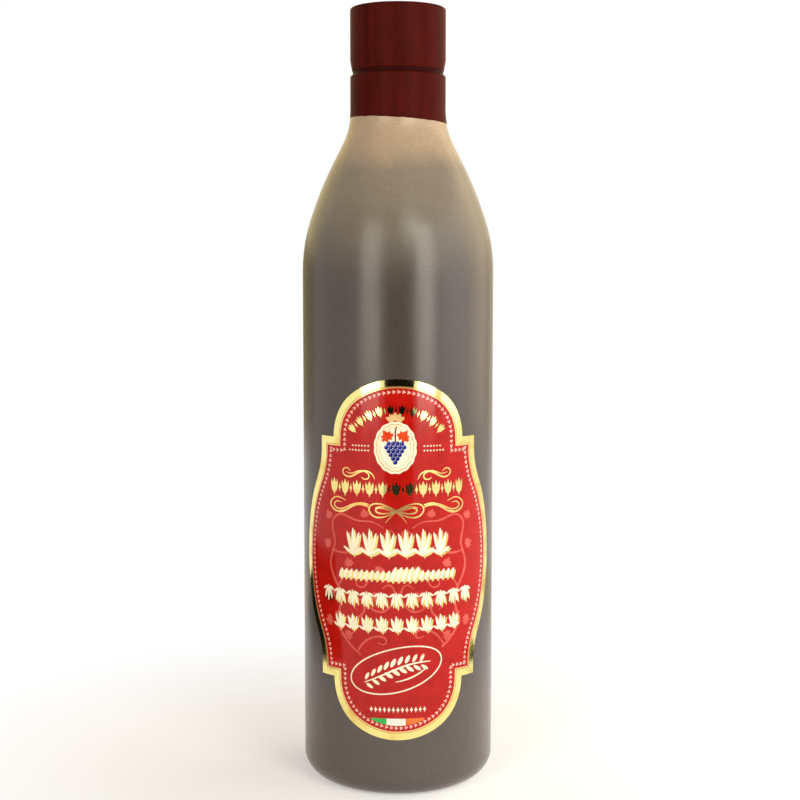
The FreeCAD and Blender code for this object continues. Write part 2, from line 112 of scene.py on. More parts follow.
class Signal:
    """One socket of a node tree, with arithmetic that adds Math nodes."""

    def __init__(self, nodes: "Nodes", socket: bpy.types.NodeSocket) -> None:
        """Wrap a socket of the tree."""
        self.nodes = nodes
        self.socket = socket

    def math(self, operation: str, *others: "Value") -> "Signal":
        """Return the result of one Math node on this signal and the other values."""
        values = dict(enumerate((self, *others)))
        return self.nodes.node("ShaderNodeMath", {"operation": operation}, values)

    def __add__(self, other: "Value") -> "Signal":
        """Add."""
        return self.math("ADD", other)

    def __sub__(self, other: "Value") -> "Signal":
        """Subtract."""
        return self.math("SUBTRACT", other)

    def __rsub__(self, other: "Value") -> "Signal":
        """Subtract this from a number."""
        return self.nodes.node("ShaderNodeMath", {"operation": "SUBTRACT"}, {0: other, 1: self})

    def __mul__(self, other: "Value") -> "Signal":
        """Multiply."""
        return self.math("MULTIPLY", other)

    def __truediv__(self, other: "Value") -> "Signal":
        """Divide."""
        return self.math("DIVIDE", other)

    __radd__ = __add__
    __rmul__ = __mul__

    def step(self, low: float, high: float) -> "Signal":
        """Return a smooth step.

        Args:
            low: Where the step is 0.
            high: Where the step is 1, which may lie below `low`.

        Returns:
            The step, from 0 to 1.
        """
        rising = low < high
        ends = (low, high) if rising else (high, low)
        values = {"Value": self, "From Min": ends[0], "From Max": ends[1]}
        settings = {"interpolation_type": "SMOOTHSTEP"}
        result = self.nodes.node("ShaderNodeMapRange", settings, values)
        return result if rising else 1 - result


Value = Union[Signal, float, Colour]


class Nodes:
    """A node tree under construction."""

    def __init__(self, tree: bpy.types.NodeTree) -> None:
        """Empty the tree."""
        self.tree = tree
        self.tree.nodes.clear()

    def add(
        self,
        kind: str,
        settings: dict[str, object] | None = None,
        values: dict[Union[str, int], object] | None = None,
    ) -> bpy.types.Node:
        """Add a node.

        Args:
            kind: The node's type.
            settings: Its properties, set before its sockets.
            values: The value or link of each socket, by name or index.

        Returns:
            The node.
        """
        added = self.tree.nodes.new(kind)
        for name, setting in (settings or {}).items():
            setattr(added, name, setting)
        for key, value in (values or {}).items():
            self.feed(added.inputs[key], value)
        return added

    def node(
        self,
        kind: str,
        settings: dict[str, object] | None = None,
        values: dict[Union[str, int], object] | None = None,
        output: Union[str, int] = 0,
    ) -> Signal:
        """Add a node and return one of its outputs as a signal."""
        return Signal(self, self.add(kind, settings, values).outputs[output])

    def feed(self, socket: bpy.types.NodeSocket, value: object) -> None:
        """Link a signal to a socket, or set the socket to a plain value.

        Args:
            socket: The socket.
            value: A signal, a number, a colour or a vector.
        """
        if isinstance(value, Signal):
            self.tree.links.new(value.socket, socket)
        elif isinstance(value, tuple) and len(value) == 3 and socket.type == "RGBA":
            socket.default_value = (*value, 1.0)
        else:
            socket.default_value = value

    def shown(self) -> Signal:
        """Return 1 for a ray that draws the background: seen straight, mirrored or through glass.

        Returns:
            That mask.
        """
        mask = self.node("ShaderNodeLightPath", output="Is Camera Ray")
        for name in ("Is Glossy Ray", "Is Transmission Ray"):
            mask = mask.math("MAXIMUM", self.node("ShaderNodeLightPath", output=name))
        return mask


class Paint(Nodes):
    """A material under construction, with the patterns that its sockets are fed from."""

    def __init__(self, name: str) -> None:
        """Start an empty material.

        Args:
            name: The material's name.
        """
        self.material = bpy.data.materials.new(name)
        self.material.use_nodes = True
        super().__init__(self.material.node_tree)

    def place(self) -> Signal:
        """Return the Object coordinates."""
        return self.node("ShaderNodeTexCoord", output="Object")

    def axes(self, place: Signal) -> tuple[Signal, Signal, Signal]:
        """Split a place into its three coordinates."""
        parts = self.add("ShaderNodeSeparateXYZ", values={0: place}).outputs
        return tuple(Signal(self, part) for part in parts)

    def stretched(self, place: Signal, scale: tuple[float, float, float]) -> Signal:
        """Return the place scaled along each axis, which draws a pattern out."""
        return self.node("ShaderNodeMapping", values={"Vector": place, "Scale": scale})

    def noise(self, place: Signal, grain: float, detail: float = 2.0) -> Signal:
        """Return noise from 0 to 1 whose grains are about `grain` millimetres wide."""
        values = {"Vector": place, "Scale": 1 / (grain * MM), "Detail": detail}
        return self.node("ShaderNodeTexNoise", values=values)

    def blend(self, share: Value, first: Value, second: Value, mode: str = "MIX") -> Signal:
        """Mix two colours: the first where the share is 0, the second where it is 1."""
        settings = {"data_type": "RGBA", "blend_type": mode, "clamp_factor": True}
        return self.node("ShaderNodeMix", settings, {0: share, 6: first, 7: second}, 2)

    def shade(self, colour: Value, value: Signal) -> Signal:
        """Multiply a colour by a grey of that value."""
        grey = self.node("ShaderNodeCombineColor", values={0: value, 1: value, 2: value})
        return self.blend(1.0, colour, grey, "MULTIPLY")

    def between(self, pattern: Signal, ends: tuple[float, float]) -> Signal:
        """Return a pattern from 0 to 1 as values from the first end to the second."""
        return ends[0] + (ends[1] - ends[0]) * pattern

    def bump(
        self, height: Signal, depth: float, strength: float, under: Signal | None = None
    ) -> Signal:
        """Return the normal of a surface in relief.

        Args:
            height: The relief, from 0 to 1.
            depth: How far the surface rises where the relief is 1, in millimetres.
            strength: How much of it shows.
            under: The normal of a relief that lies under it.

        Returns:
            The normal.
        """
        values = {"Strength": strength, "Distance": depth * MM, "Height": height}
        if under:
            values["Normal"] = under
        return self.node("ShaderNodeBump", values=values)

    def finish(self, values: dict[str, object]) -> bpy.types.Material:
        """Return the material with a Principled shader that has these socket values."""
        return self.surface(self.node("ShaderNodeBsdfPrincipled", values=values))

    def surface(self, shader: Signal) -> bpy.types.Material:
        """Return the material with that shader as its surface."""
        self.add("ShaderNodeOutputMaterial", values={"Surface": shader})
        return self.material


# ---------------------------------------------------------------------------------------------
# Finishes. Grains are in millimetres; a relief is a depth in millimetres and a strength; a fade is
# where a pattern or a height begins to change and where it has changed.
# ---------------------------------------------------------------------------------------------


@dataclass(frozen=True)
class FrostedWall:
    """Milky blown plastic: pale over the empty neck, grey-brown where glaze lies against it."""

    level: float
    empty: Colour = linear(176, 150, 122)
    shallow: Colour = linear(132, 119, 99)
    deep: Colour = linear(70, 63, 58)
    heel: Colour = linear(87, 79, 76)
    level_blur: float = 4.6
    level_wander: float = 3.4
    deepening: float = 42.0
    heel_fade: tuple[float, float] = (75.0, 20.0)
    cloud_grain: float = 11.0
    mottle_grain: float = 4.0
    mottle_tone: tuple[float, float] = (0.94, 1.06)
    speckle_grain: float = 0.7
    speckle_tone: tuple[float, float] = (0.82, 1.18)
    speckle_relief: tuple[float, float] = (0.012, 0.7)
    wave_grain: float = 9.0
    wave_stretch: tuple[float, float, float] = (1.0, 1.0, 0.35)
    wave_relief: tuple[float, float] = (0.35, 0.35)
    seam_fade: tuple[float, float] = (0.28, 0.06)
    seam_relief: tuple[float, float] = (0.08, 0.5)
    roughness: tuple[float, float] = (0.21, 0.31)
    sheen: float = 0.15
    sheen_tint: tuple[float, float, float, float] = (1.0, 0.82, 0.5, 1.0)

    def make(self) -> bpy.types.Material:
        """Make the material.

        Returns:
            The material.
        """
        paint = Paint("frosted_wall")
        place = paint.place()
        _, front, height = paint.axes(place)
        cloud = paint.noise(place, self.cloud_grain)
        speckle = paint.noise(place, self.speckle_grain, 1.0)
        rise = height / MM + (cloud - 0.5) * self.level_wander * 2
        filled = rise.step(self.level + self.level_blur, self.level - self.level_blur)
        depth = rise.step(self.level, self.level - self.deepening)
        body = paint.blend(rise.step(*self.heel_fade), self.deep, self.heel)
        glaze = paint.blend(depth, self.shallow, body)
        colour = paint.blend(filled, self.empty, glaze)
        mottle = paint.noise(place, self.mottle_grain, 3.0)
        colour = paint.shade(colour, paint.between(mottle, self.mottle_tone))
        colour = paint.shade(colour, paint.between(speckle, self.speckle_tone))
        seam = (front / MM).math("ABSOLUTE").step(*self.seam_fade)
        waves = paint.noise(paint.stretched(place, self.wave_stretch), self.wave_grain, 1.0)
        normal = paint.bump(speckle, *self.speckle_relief)
        normal = paint.bump(waves, *self.wave_relief, normal)
        normal = paint.bump(seam, *self.seam_relief, normal)
        return paint.finish(
            {
                "Base Color": colour,
                "Roughness": paint.between(cloud, self.roughness),
                "Normal": normal,
                "IOR": 1.49,
                "Sheen Weight": self.sheen,
                "Sheen Roughness": 0.3,
                "Sheen Tint": self.sheen_tint,
            }
        )


@dataclass(frozen=True)
class DarkGlaze:
    """Thick dark syrup."""

    colour: Colour = linear(38, 16, 10)
    light: Colour = linear(52, 24, 14)
    grain: float = 14.0
    roughness: tuple[float, float] = (0.06, 0.11)
    coat: float = 0.6

    def make(self) -> bpy.types.Material:
        """Make the material.

        Returns:
            The material.
        """
        paint = Paint("dark_glaze")
        cloud = paint.noise(paint.place(), self.grain)
        return paint.finish(
            {
                "Base Color": paint.blend(cloud, self.colour, self.light),
                "Roughness": paint.between(cloud, self.roughness),
                "Coat Weight": self.coat,
            }
        )


@dataclass(frozen=True)
class MouldedPlastic:
    """Fine-grained moulded plastic of the closure under the film."""

    colour: Colour = linear(40, 16, 14)
    light: Colour = linear(50, 20, 18)
    cloud_grain: float = 6.0
    grain: float = 0.25
    relief: tuple[float, float] = (0.01, 0.5)
    roughness: tuple[float, float] = (0.4, 0.5)

    def make(self) -> bpy.types.Material:
        """Make the material.

        Returns:
            The material.
        """
        paint = Paint("moulded_plastic")
        place = paint.place()
        grain = paint.noise(place, self.grain)
        cloud = paint.noise(place, self.cloud_grain)
        return paint.finish(
            {
                "Base Color": paint.blend(cloud, self.colour, self.light),
                "Roughness": paint.between(grain, self.roughness),
                "Normal": paint.bump(grain, *self.relief),
            }
        )


@dataclass(frozen=True)
class ShrinkFilm:
    """Maroon shrink film, drawn tight, with faint upright creases and a painted shade in the groove.
    """

    # Height of the groove's middle in millimetres, round which the painted shade is laid.
    groove: float
    colour: Colour = linear(80, 19, 14)
    shade: Colour = linear(58, 13, 9)
    # Painted shade: the dark maroon that the film is blended towards round the groove, where shadow
    # falls.
    tarnish_and_painted_shade: Colour = linear(40, 9, 6)
    groove_shade_fade: tuple[float, float] = (1.0, 0.35)
    groove_shade_share: float = 0.85
    crease_grain: float = 2.2
    crease_stretch: tuple[float, float, float] = (1.0, 1.0, 0.06)
    crease_relief: tuple[float, float] = (0.1, 0.35)
    cloud_grain: float = 7.0
    cloud_fade: tuple[float, float] = (0.3, 0.72)
    speckle_grain: float = 0.3
    speckle_relief: tuple[float, float] = (0.01, 0.5)
    roughness: tuple[float, float] = (0.36, 0.48)
    specular: float = 0.025

    def make(self) -> bpy.types.Material:
        """Make the material.

        Returns:
            The material.
        """
        paint = Paint("shrink_film")
        place = paint.place()
        drawn = paint.noise(paint.stretched(place, self.crease_stretch), self.crease_grain, 3.0)
        cloud = paint.noise(place, self.cloud_grain, 3.0)
        speckle = paint.noise(place, self.speckle_grain, 1.0)
        share = (drawn * 0.6 + cloud * 0.4).step(*self.cloud_fade)
        tone = paint.blend(share, self.shade, self.colour)
        height = paint.axes(place)[2] / MM
        # Painted shade: a band round the groove is darkened, standing in for the shadow inside it.
        near = (height - self.groove).math("ABSOLUTE").step(*self.groove_shade_fade)
        tone = paint.blend(near * self.groove_shade_share, tone, self.tarnish_and_painted_shade)
        creases = paint.bump(drawn, *self.crease_relief)
        return paint.finish(
            {
                "Base Color": tone,
                "Roughness": paint.between(cloud, self.roughness),
                "Normal": paint.bump(speckle, *self.speckle_relief, creases),
                "Specular IOR Level": self.specular,
            }
        )


@dataclass(frozen=True)
class GoldFoil:
    """Stamped gold foil: a near mirror with a slight orange peel and rubbed spots."""

    name: str = "gold_foil"
    colour: Colour = linear(251, 235, 152)
    tarnish: Colour = linear(232, 199, 106)
    roughness: float = 0.08
    metallic: float = 1.0
    cloud_grain: float = 5.0
    tarnish_fade: tuple[float, float] = (0.45, 0.8)
    rub_fade: tuple[float, float] = (0.5, 0.85)
    rub_roughness: float = 0.1
    peel_grain: float = 0.8
    peel_relief: tuple[float, float] = (0.01, 0.3)

    def make(self) -> bpy.types.Material:
        """Make the material, once for each name.

        Returns:
            The material.
        """
        found = bpy.data.materials.get(self.name)
        if found:
            return found
        paint = Paint(self.name)
        place = paint.place()
        cloud = paint.noise(place, self.cloud_grain, 3.0)
        peel = paint.noise(place, self.peel_grain, 1.0)
        tarnish_and_painted_shade = cloud.step(*self.tarnish_fade)
        rubbed = cloud.step(*self.rub_fade)
        return paint.finish(
            {
                "Base Color": paint.blend(tarnish_and_painted_shade, self.colour, self.tarnish),
                "Metallic": self.metallic,
                "Roughness": self.roughness + self.rub_roughness * rubbed,
                "Normal": paint.bump(peel, *self.peel_relief),
            }
        )


GOLD = GoldFoil()
GROOVE = GoldFoil("foil_groove", linear(206, 150, 48), linear(190, 130, 40), 0.2, 0.7)
FINE_GOLD = GoldFoil("fine_foil", linear(252, 214, 150), linear(244, 186, 118), 0.14, 0.6)
SCROLL_GOLD = GoldFoil("scroll_foil", linear(250, 208, 128), linear(230, 172, 96), 0.2)


class Ink(Enum):
    """Printing inks of the label, as display colours: the full tone and its thin places."""

    RED = ((186, 24, 14), (168, 18, 11))
    MAROON = ((120, 30, 16), (100, 22, 12))
    PINK = ((248, 188, 176), (238, 164, 152))
    ROSE = ((216, 98, 86), (204, 72, 60))
    CREAM = ((252, 246, 226), (244, 232, 200))
    SAND = ((232, 196, 140), (214, 170, 112))
    BLUE = ((38, 46, 140), (28, 34, 110))
    SKY = ((150, 160, 214), (120, 132, 196))
    VERMILION = ((232, 78, 34), (214, 60, 26))
    ORANGE = ((246, 122, 56), (236, 106, 46))
    GREEN = ((62, 186, 92), (48, 168, 80))
    WHITE = ((246, 243, 236), (236, 232, 222))


@dataclass(frozen=True)
class VarnishedInk:
    """Ink on label paper under a gloss varnish."""

    ink: Ink
    coat: float = 0.6
    coat_roughness: float = 0.1
    cloud_grain: float = 3.5
    cloud_fade: tuple[float, float] = (0.38, 0.7)
    tooth_grain: float = 0.22
    tooth_relief: tuple[float, float] = (0.006, 0.4)
    roughness: tuple[float, float] = (0.42, 0.58)

    def make(self) -> bpy.types.Material:
        """Make the material, once for each ink.

        Returns:
            The material.
        """
        name = f"ink_{self.ink.name.lower()}"
        found = bpy.data.materials.get(name)
        if found:
            return found
        paint = Paint(name)
        place = paint.place()
        full, thin = (linear(*tone) for tone in self.ink.value)
        cloud = paint.noise(place, self.cloud_grain, 4.0)
        tooth = paint.noise(place, self.tooth_grain)
        share = (cloud * 0.7 + tooth * 0.3).step(*self.cloud_fade)
        return paint.finish(
            {
                "Base Color": paint.blend(share, full, thin),
                "Roughness": paint.between(tooth, self.roughness),
                "Normal": paint.bump(tooth, *self.tooth_relief),
                "Specular IOR Level": 0.0,
                "Coat Weight": self.coat,
                "Coat Roughness": self.coat_roughness,
            }
        )


Finish = Union[GoldFoil, VarnishedInk]


# ---------------------------------------------------------------------------------------------
# Drawing and modelling
# ---------------------------------------------------------------------------------------------


class Pen:
    """Draws an outline by lines and arcs in millimetres; a heading of 0 is right and 90 is up."""

    def __init__(self, across: float, up: float, heading: float = 0.0) -> None:
        """Set the pen down."""
        self.points: list[Point] = [(across, up)]
        self.heading = heading

    def to(self, across: float, up: float, heading: float | None = None) -> None:
        """Draw a line to a point.

        Args:
            across: The point's place across.
            up: The point's height.
            heading: The heading to turn to there, or None to keep the present one.
        """
        self.points.append((across, up))
        if heading is not None:
            self.heading = heading

    def line(self, length: float) -> None:
        """Draw a line straight on.

        Args:
            length: The line's length.
        """
        across, up = self.points[-1]
        angle = math.radians(self.heading)
        self.points.append((across + length * math.cos(angle), up + length * math.sin(angle)))

    def arc(self, radius: float, turn: float, step: float = 3.0) -> None:
        """Draw an arc that starts straight on.

        Args:
            radius: The arc's radius.
            turn: The angle that it turns by, positive to the left.
            step: The largest angle between its points.
        """
        count = max(1, math.ceil(abs(turn) / step))
        part = turn / count
        chord = 2 * radius * math.sin(math.radians(abs(part)) / 2)
        for _ in range(count):
            self.heading += part / 2
            self.line(chord)
            self.heading += part / 2


class Bench:
    """Modelling moves, made with Blender's own operators on one new mesh at a time."""

    @staticmethod
    def clear() -> None:
        """Leave edit mode and deselect everything."""
        if bpy.context.mode != "OBJECT":
            bpy.ops.object.mode_set(mode="OBJECT")
        bpy.ops.object.select_all(action="DESELECT")

    @staticmethod
    def pick(*objects: bpy.types.Object) -> None:
        """Select these objects alone and make the first one active.

        Args:
            objects: The objects.
        """
        Bench.clear()
        for item in objects:
            item.select_set(True)
        bpy.context.view_layer.objects.active = objects[0]

    @staticmethod
    def edit(item: bpy.types.Object, mode: str = "VERT") -> None:
        """Open an object in edit mode with all of it selected.

        Args:
            item: The object.
            mode: What is selected: VERT, EDGE or FACE.
        """
        Bench.pick(item)
        bpy.ops.object.mode_set(mode="EDIT")
        bpy.ops.mesh.select_mode(type=mode)
        bpy.ops.mesh.select_all(action="SELECT")

    @staticmethod
    def shift(item: bpy.types.Object, across: float, out: float, up: float) -> None:
        """Move a mesh within its object.

        Args:
            item: The object.
            across: How far to +X, in millimetres.
            out: How far to -Y, which is the front.
            up: How far to +Z.
        """
        Bench.edit(item)
        bpy.ops.transform.translate(value=(across * MM, -out * MM, up * MM))
        bpy.ops.object.mode_set(mode="OBJECT")

    @staticmethod
    def trace(name: str, points: Sequence[Point], closed: bool = False) -> bpy.types.Object:
        """Extrude one vertex along a path in the upright plane through the axis.

        Args:
            name: The new object's name.
            points: The path, in millimetres.
            closed: Whether the path is closed and filled with a face that looks to -Y.

        Returns:
            The new object, in object mode.
        """
        Bench.clear()
        start = (points[0][0] * MM, 0.0, points[0][1] * MM)
        bpy.ops.mesh.primitive_plane_add(size=MM, location=start)
        item = bpy.context.object
        item.name = name
        bpy.ops.object.transform_apply(location=True)
        Bench.edit(item)
        bpy.ops.mesh.merge(type="CENTER")
        for (left, low), (right, high) in zip(points, points[1:]):
            move = ((right - left) * MM, 0.0, (high - low) * MM)
            bpy.ops.mesh.extrude_region_move(TRANSFORM_OT_translate={"value": move})
        if closed:
            bpy.ops.mesh.select_all(action="SELECT")
            bpy.ops.mesh.edge_face_add()
            bpy.ops.object.mode_set(mode="OBJECT")
            if item.data.polygons[0].normal.y > 0:
                Bench.edit(item)
                bpy.ops.mesh.flip_normals()
        bpy.ops.object.mode_set(mode="OBJECT")
        return item

    @staticmethod
    def turn(name: str, points: Sequence[Point], steps: int) -> bpy.types.Object:
        """Spin a half outline round the upright axis into a skin that faces outwards.

        Args:
            name: The new object's name.
            points: The half outline, in millimetres.
            steps: How many sides the skin has.

        Returns:
            The skin, in object mode.
        """
        item = Bench.trace(name, points)
        Bench.edit(item)
        bpy.ops.mesh.spin(steps=steps, angle=math.tau, center=(0, 0, 0), axis=(0, 0, 1))
        bpy.ops.mesh.select_all(action="SELECT")
        bpy.ops.mesh.remove_doubles(threshold=0.002 * MM)
        bpy.ops.mesh.normals_make_consistent(inside=False)
        bpy.ops.object.mode_set(mode="OBJECT")
        return item

    @staticmethod
    def modify(item: bpy.types.Object, kind: str, **settings: object) -> None:
        """Add a modifier and apply it.

        Args:
            item: The object.
            kind: The modifier's type.
            settings: The modifier's properties.
        """
        Bench.pick(item)
        bpy.ops.object.modifier_add(type=kind)
        added = item.modifiers[-1]
        for name, value in settings.items():
            setattr(added, name, value)
        bpy.ops.object.modifier_apply(modifier=added.name)

    @staticmethod
    def thicken(item: bpy.types.Object, thickness: float, offset: float) -> None:
        """Give a skin its thickness in millimetres, outside it (1), inside (-1) or both (0)."""
        Bench.modify(item, "SOLIDIFY", thickness=thickness * MM, offset=offset)

    @staticmethod
    def slice(item: bpy.types.Object, pitch: float) -> None:
        """Cut a flat piece by upright planes so that it can bend.

        Args:
            item: The flat piece.
            pitch: The distance between the planes, in millimetres.
        """
        sides = [vertex.co.x for vertex in item.data.vertices]
        first = math.ceil(min(sides) / (pitch * MM))
        last = math.floor(max(sides) / (pitch * MM))
        Bench.edit(item)
        for index in range(first, last + 1):
            bpy.ops.mesh.select_all(action="SELECT")
            bpy.ops.mesh.bisect(plane_co=(index * pitch * MM, 0, 0), plane_no=(1, 0, 0))
        bpy.ops.object.mode_set(mode="OBJECT")

    @staticmethod
    def inset(item: bpy.types.Object, rings: Iterable[tuple[float, int]]) -> None:
        """Draw rings in a flat face, each inside the one before.

        Args:
            item: The flat piece, with its materials.
            rings: How far each ring lies inside the last, and the material from there inwards.
        """
        Bench.edit(item, "FACE")
        for distance, material in rings:
            bpy.ops.mesh.inset(thickness=distance * MM, depth=0)
            item.active_material_index = material
            bpy.ops.object.material_slot_assign()
        bpy.ops.object.mode_set(mode="OBJECT")

    @staticmethod
    def join(name: str, items: Sequence[bpy.types.Object]) -> bpy.types.Object:
        """Join objects into one mesh at the origin.

        Args:
            name: The joined object's name.
            items: The objects, of which the first one stays.

        Returns:
            The joined object.
        """
        Bench.pick(*items)
        if len(items) > 1:
            bpy.ops.object.join()
        joined = bpy.context.object
        bpy.ops.object.transform_apply(location=True, rotation=True, scale=True)
        joined.name = name
        joined.data.name = name
        return joined

    @staticmethod
    def paint(item: bpy.types.Object, *materials: bpy.types.Material) -> None:
        """Replace an object's materials.

        Args:
            item: The object.
            materials: Its new materials.
        """
        item.data.materials.clear()
        for material in materials:
            item.data.materials.append(material)

    @staticmethod
    def dress(
        item: bpy.types.Object, slot: str, *materials: bpy.types.Material, angle: float = 32.0
    ) -> None:
        """Finish a piece: its normals, materials and the body that it rides on.

        Args:
            item: The piece.
            slot: Not used; the record slot meant for it.
            materials: Its materials, or none where it has them.
            angle: The angle above which its edges stay sharp.
        """
        Bench.pick(item)
        bpy.ops.object.shade_smooth_by_angle(angle=math.radians(angle))
        if materials:
            Bench.paint(item, *materials)
        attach(item, BODY)
        LOG.info("%s: %d faces", item.name, len(item.data.polygons))


class Motif(Enum):
    """Small flat ornaments that the label repeats."""

    BEAD = "bead"
    LEAF = "leaf"
    LOZENGE = "lozenge"
    DISC = "disc"
    TULIP = "tulip"
    VINE = "vine"


@dataclass(frozen=True)
class Stamp:
    """One placing of a motif on the flat label: centre, width, height and turn."""

    motif: Motif
    across: float
    up: float
    width: float
    height: float
    turn: float = 0.0


@dataclass(frozen=True)
class Stroke:
    """One swelling brush line: its points and the width at each."""

    points: tuple[tuple[float, float, float], ...]

    def mirrored(self) -> "Stroke":
        """Return the same stroke on the label's other side."""
        return Stroke(tuple((-across, up, width) for across, up, width in self.points))

    def moved(self, distance: float) -> "Stroke":
        """Return the same stroke, moved across."""
        return Stroke(tuple((across + distance, up, width) for across, up, width in self.points))


class MotifCase:
    """Models each motif once, one millimetre high and wide, and hands out copies."""

    def __init__(self) -> None:
        """Start with an empty case."""
        self.models: dict[Motif, bpy.types.Object] = {}

    @staticmethod
    def round_outline(shape: Callable[[float], Point], count: int = 14) -> list[Point]:
        """Return points of a closed outline given by a function of the angle in radians."""
        return [shape(math.tau * index / count) for index in range(count)]

    @staticmethod
    def doubled(right: list[Point]) -> list[Point]:
        """Return a closed outline from its right half, which runs from foot to tip."""
        return right + [(-across, up) for across, up in reversed(right[1:-1])]

    @staticmethod
    def leaf(angle: float) -> Point:
        """Return the point of a slender leaf's outline at an angle."""
        swell = 0.72 + 0.28 * abs(math.sin(angle))
        return 0.5 * math.sin(angle) * swell, -0.5 * math.cos(angle)

    @staticmethod
    def disc(angle: float) -> Point:
        """Return the point of a disc's outline at an angle."""
        return 0.5 * math.sin(angle), -0.5 * math.cos(angle)

    def outline(self, motif: Motif) -> list[Point]:
        """Draw a motif.

        Args:
            motif: The motif.

        Returns:
            Its outline in a box of one by one about its centre.
        """
        if motif is Motif.BEAD:
            return [(-0.5, -0.5), (0.5, -0.06), (0.5, 0.06), (-0.5, 0.5)]
        if motif is Motif.LEAF:
            return self.round_outline(self.leaf)
        if motif is Motif.DISC:
            return self.round_outline(self.disc)
        if motif is Motif.LOZENGE:
            return self.doubled([(0.0, -0.5), (0.2, -0.16), (0.5, 0.0), (0.2, 0.16), (0.0, 0.5)])
        if motif is Motif.TULIP:
            return self.doubled(
                [(0.0, -0.5), (0.1, -0.32), (0.3, -0.24), (0.44, -0.05), (0.5, 0.2),
                 (0.42, 0.42), (0.27, 0.2), (0.14, 0.3), (0.0, 0.5)]
            )
        return self.doubled(
            [(0.0, -0.3), (0.12, -0.46), (0.24, -0.4), (0.26, -0.26), (0.42, -0.28),
             (0.5, -0.08), (0.34, 0.0), (0.42, 0.22), (0.2, 0.18), (0.12, 0.34), (0.0, 0.5)]
        )

    def copy(self, stamp: Stamp) -> bpy.types.Object:
        """Copy a motif.

        Args:
            stamp: The motif, its place and its size.

        Returns:
            The copy, which has its own mesh.
        """
        if stamp.motif not in self.models:
            name = f"motif_{stamp.motif.value}"
            self.models[stamp.motif] = Bench.trace(name, self.outline(stamp.motif), closed=True)
        model = self.models[stamp.motif]
        copied = model.copy()
        copied.data = model.data.copy()
        bpy.context.scene.collection.objects.link(copied)
        copied.matrix_world = (
            Matrix.Translation((stamp.across * MM, 0, stamp.up * MM))
            @ Euler((0, -math.radians(stamp.turn), 0)).to_matrix().to_4x4()
            @ Matrix.Diagonal((stamp.width, 1, stamp.height, 1))
        )
        return copied

    def close(self) -> None:
        """Throw the models away."""
        for model in self.models.values():
            mesh = model.data
            bpy.data.objects.remove(model)
            bpy.data.meshes.remove(mesh)
        self.models.clear()


# ---------------------------------------------------------------------------------------------
# Bottle, contents and capsule
# ---------------------------------------------------------------------------------------------


@dataclass
class Bottle:
    """Blow-moulded bottle: its skin is turned and then given its wall."""

    body_radius: float = 30.5
    wall: float = 0.9
    heel_radius: float = 7.5
    ring_inner_radius: float = 19.5
    push_up: float = 3.2
    body_rings: tuple[float, ...] = (40.0, 75.0, 110.0, 140.0)
    shoulder_start: float = 163.0
    lower_arc_radius: float = 54.6
    lower_arc_sweep: float = 18.0
    shoulder_slope: float = 27.0
    shoulder_flat: float = 5.5
    neck_arc_radius: float = 25.1
    neck_radius: float = 15.0
    neck_land: float = 1.2
    finish_radius: float = 12.6
    finish_height: float = 14.0
    headspace: float = 17.6
    weld_length: float = 25.0
    weld_width: float = 0.8
    weld_depth: float = 0.35
    weld_fade: float = 1.5
    weld_half_steps: int = 8
    steps: int = 168

    def dome_radius(self) -> float:
        """Return the radius of the pushed-up base."""
        return (self.ring_inner_radius**2 + self.push_up**2) / (2 * self.push_up)

    def skin(self) -> list[Point]:
        """Draw the bottle's skin.

        Returns:
            The half outline from the middle of the base to the mouth.
        """
        low = math.radians(self.lower_arc_sweep)
        steep = math.radians(self.shoulder_slope)
        run = self.body_radius - self.neck_radius
        run -= self.lower_arc_radius * (1 - math.cos(low))
        run -= self.shoulder_flat * math.sin(steep)
        run -= self.neck_arc_radius * (1 - math.cos(steep))
        upper_arc_radius = run / (math.cos(low) - math.cos(steep))
        dome = self.dome_radius()
        pen = Pen(0, self.push_up)
        pen.arc(dome, -math.degrees(math.asin(self.ring_inner_radius / dome)))
        pen.heading = 0
        pen.to(self.body_radius - self.heel_radius, 0)
        pen.arc(self.heel_radius, 90, step=7.5)
        for height in self.body_rings:
            pen.to(self.body_radius, height)
        pen.to(self.body_radius, self.shoulder_start)
        pen.arc(self.lower_arc_radius, self.lower_arc_sweep, step=1.5)
        pen.arc(upper_arc_radius, self.shoulder_slope - self.lower_arc_sweep, step=0.75)
        pen.line(self.shoulder_flat)
        pen.arc(self.neck_arc_radius, -self.shoulder_slope, step=2.2)
        pen.line(self.neck_land)
        pen.to(self.finish_radius, pen.points[-1][1], 90)
        pen.line(self.finish_height)
        return pen.points

    def seat(self) -> float:
        """Return the height of the neck's top, where the closure sits."""
        return self.skin()[-1][1] - self.finish_height

    def weld(self) -> bpy.types.Object:
        """Model the ridge across the base, where the mould pinched it shut.

        Returns:
            The ridge.
        """
        dome, half = self.dome_radius(), self.weld_length / 2
        count = self.weld_half_steps
        places = [half * (index / count - 1) for index in range(2 * count + 1)]
        skin = [(x, self.push_up - dome + math.sqrt(dome**2 - x**2)) for x in places]
        lower = []
        for across, up in skin:
            share = min(1.0, (half - abs(across)) / self.weld_fade)
            lower.append((across, up - self.weld_depth * share))
        upper = [(across, up + self.wall / 2) for across, up in reversed(skin)]
        ridge = Bench.trace("base_weld", lower + upper, closed=True)
        Bench.thicken(ridge, self.weld_width, 0.0)
        return ridge

    def build(self) -> None:
        """Build the wall and dress it."""
        item = Bench.turn("bottle_wall", self.skin(), self.steps)
        Bench.thicken(item, self.wall, -1.0)
        item = Bench.join("bottle_wall", [item, self.weld()])
        finish = FrostedWall(level=self.seat() - self.headspace)
        Bench.dress(item, "bottle", finish.make())
        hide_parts("bottle")


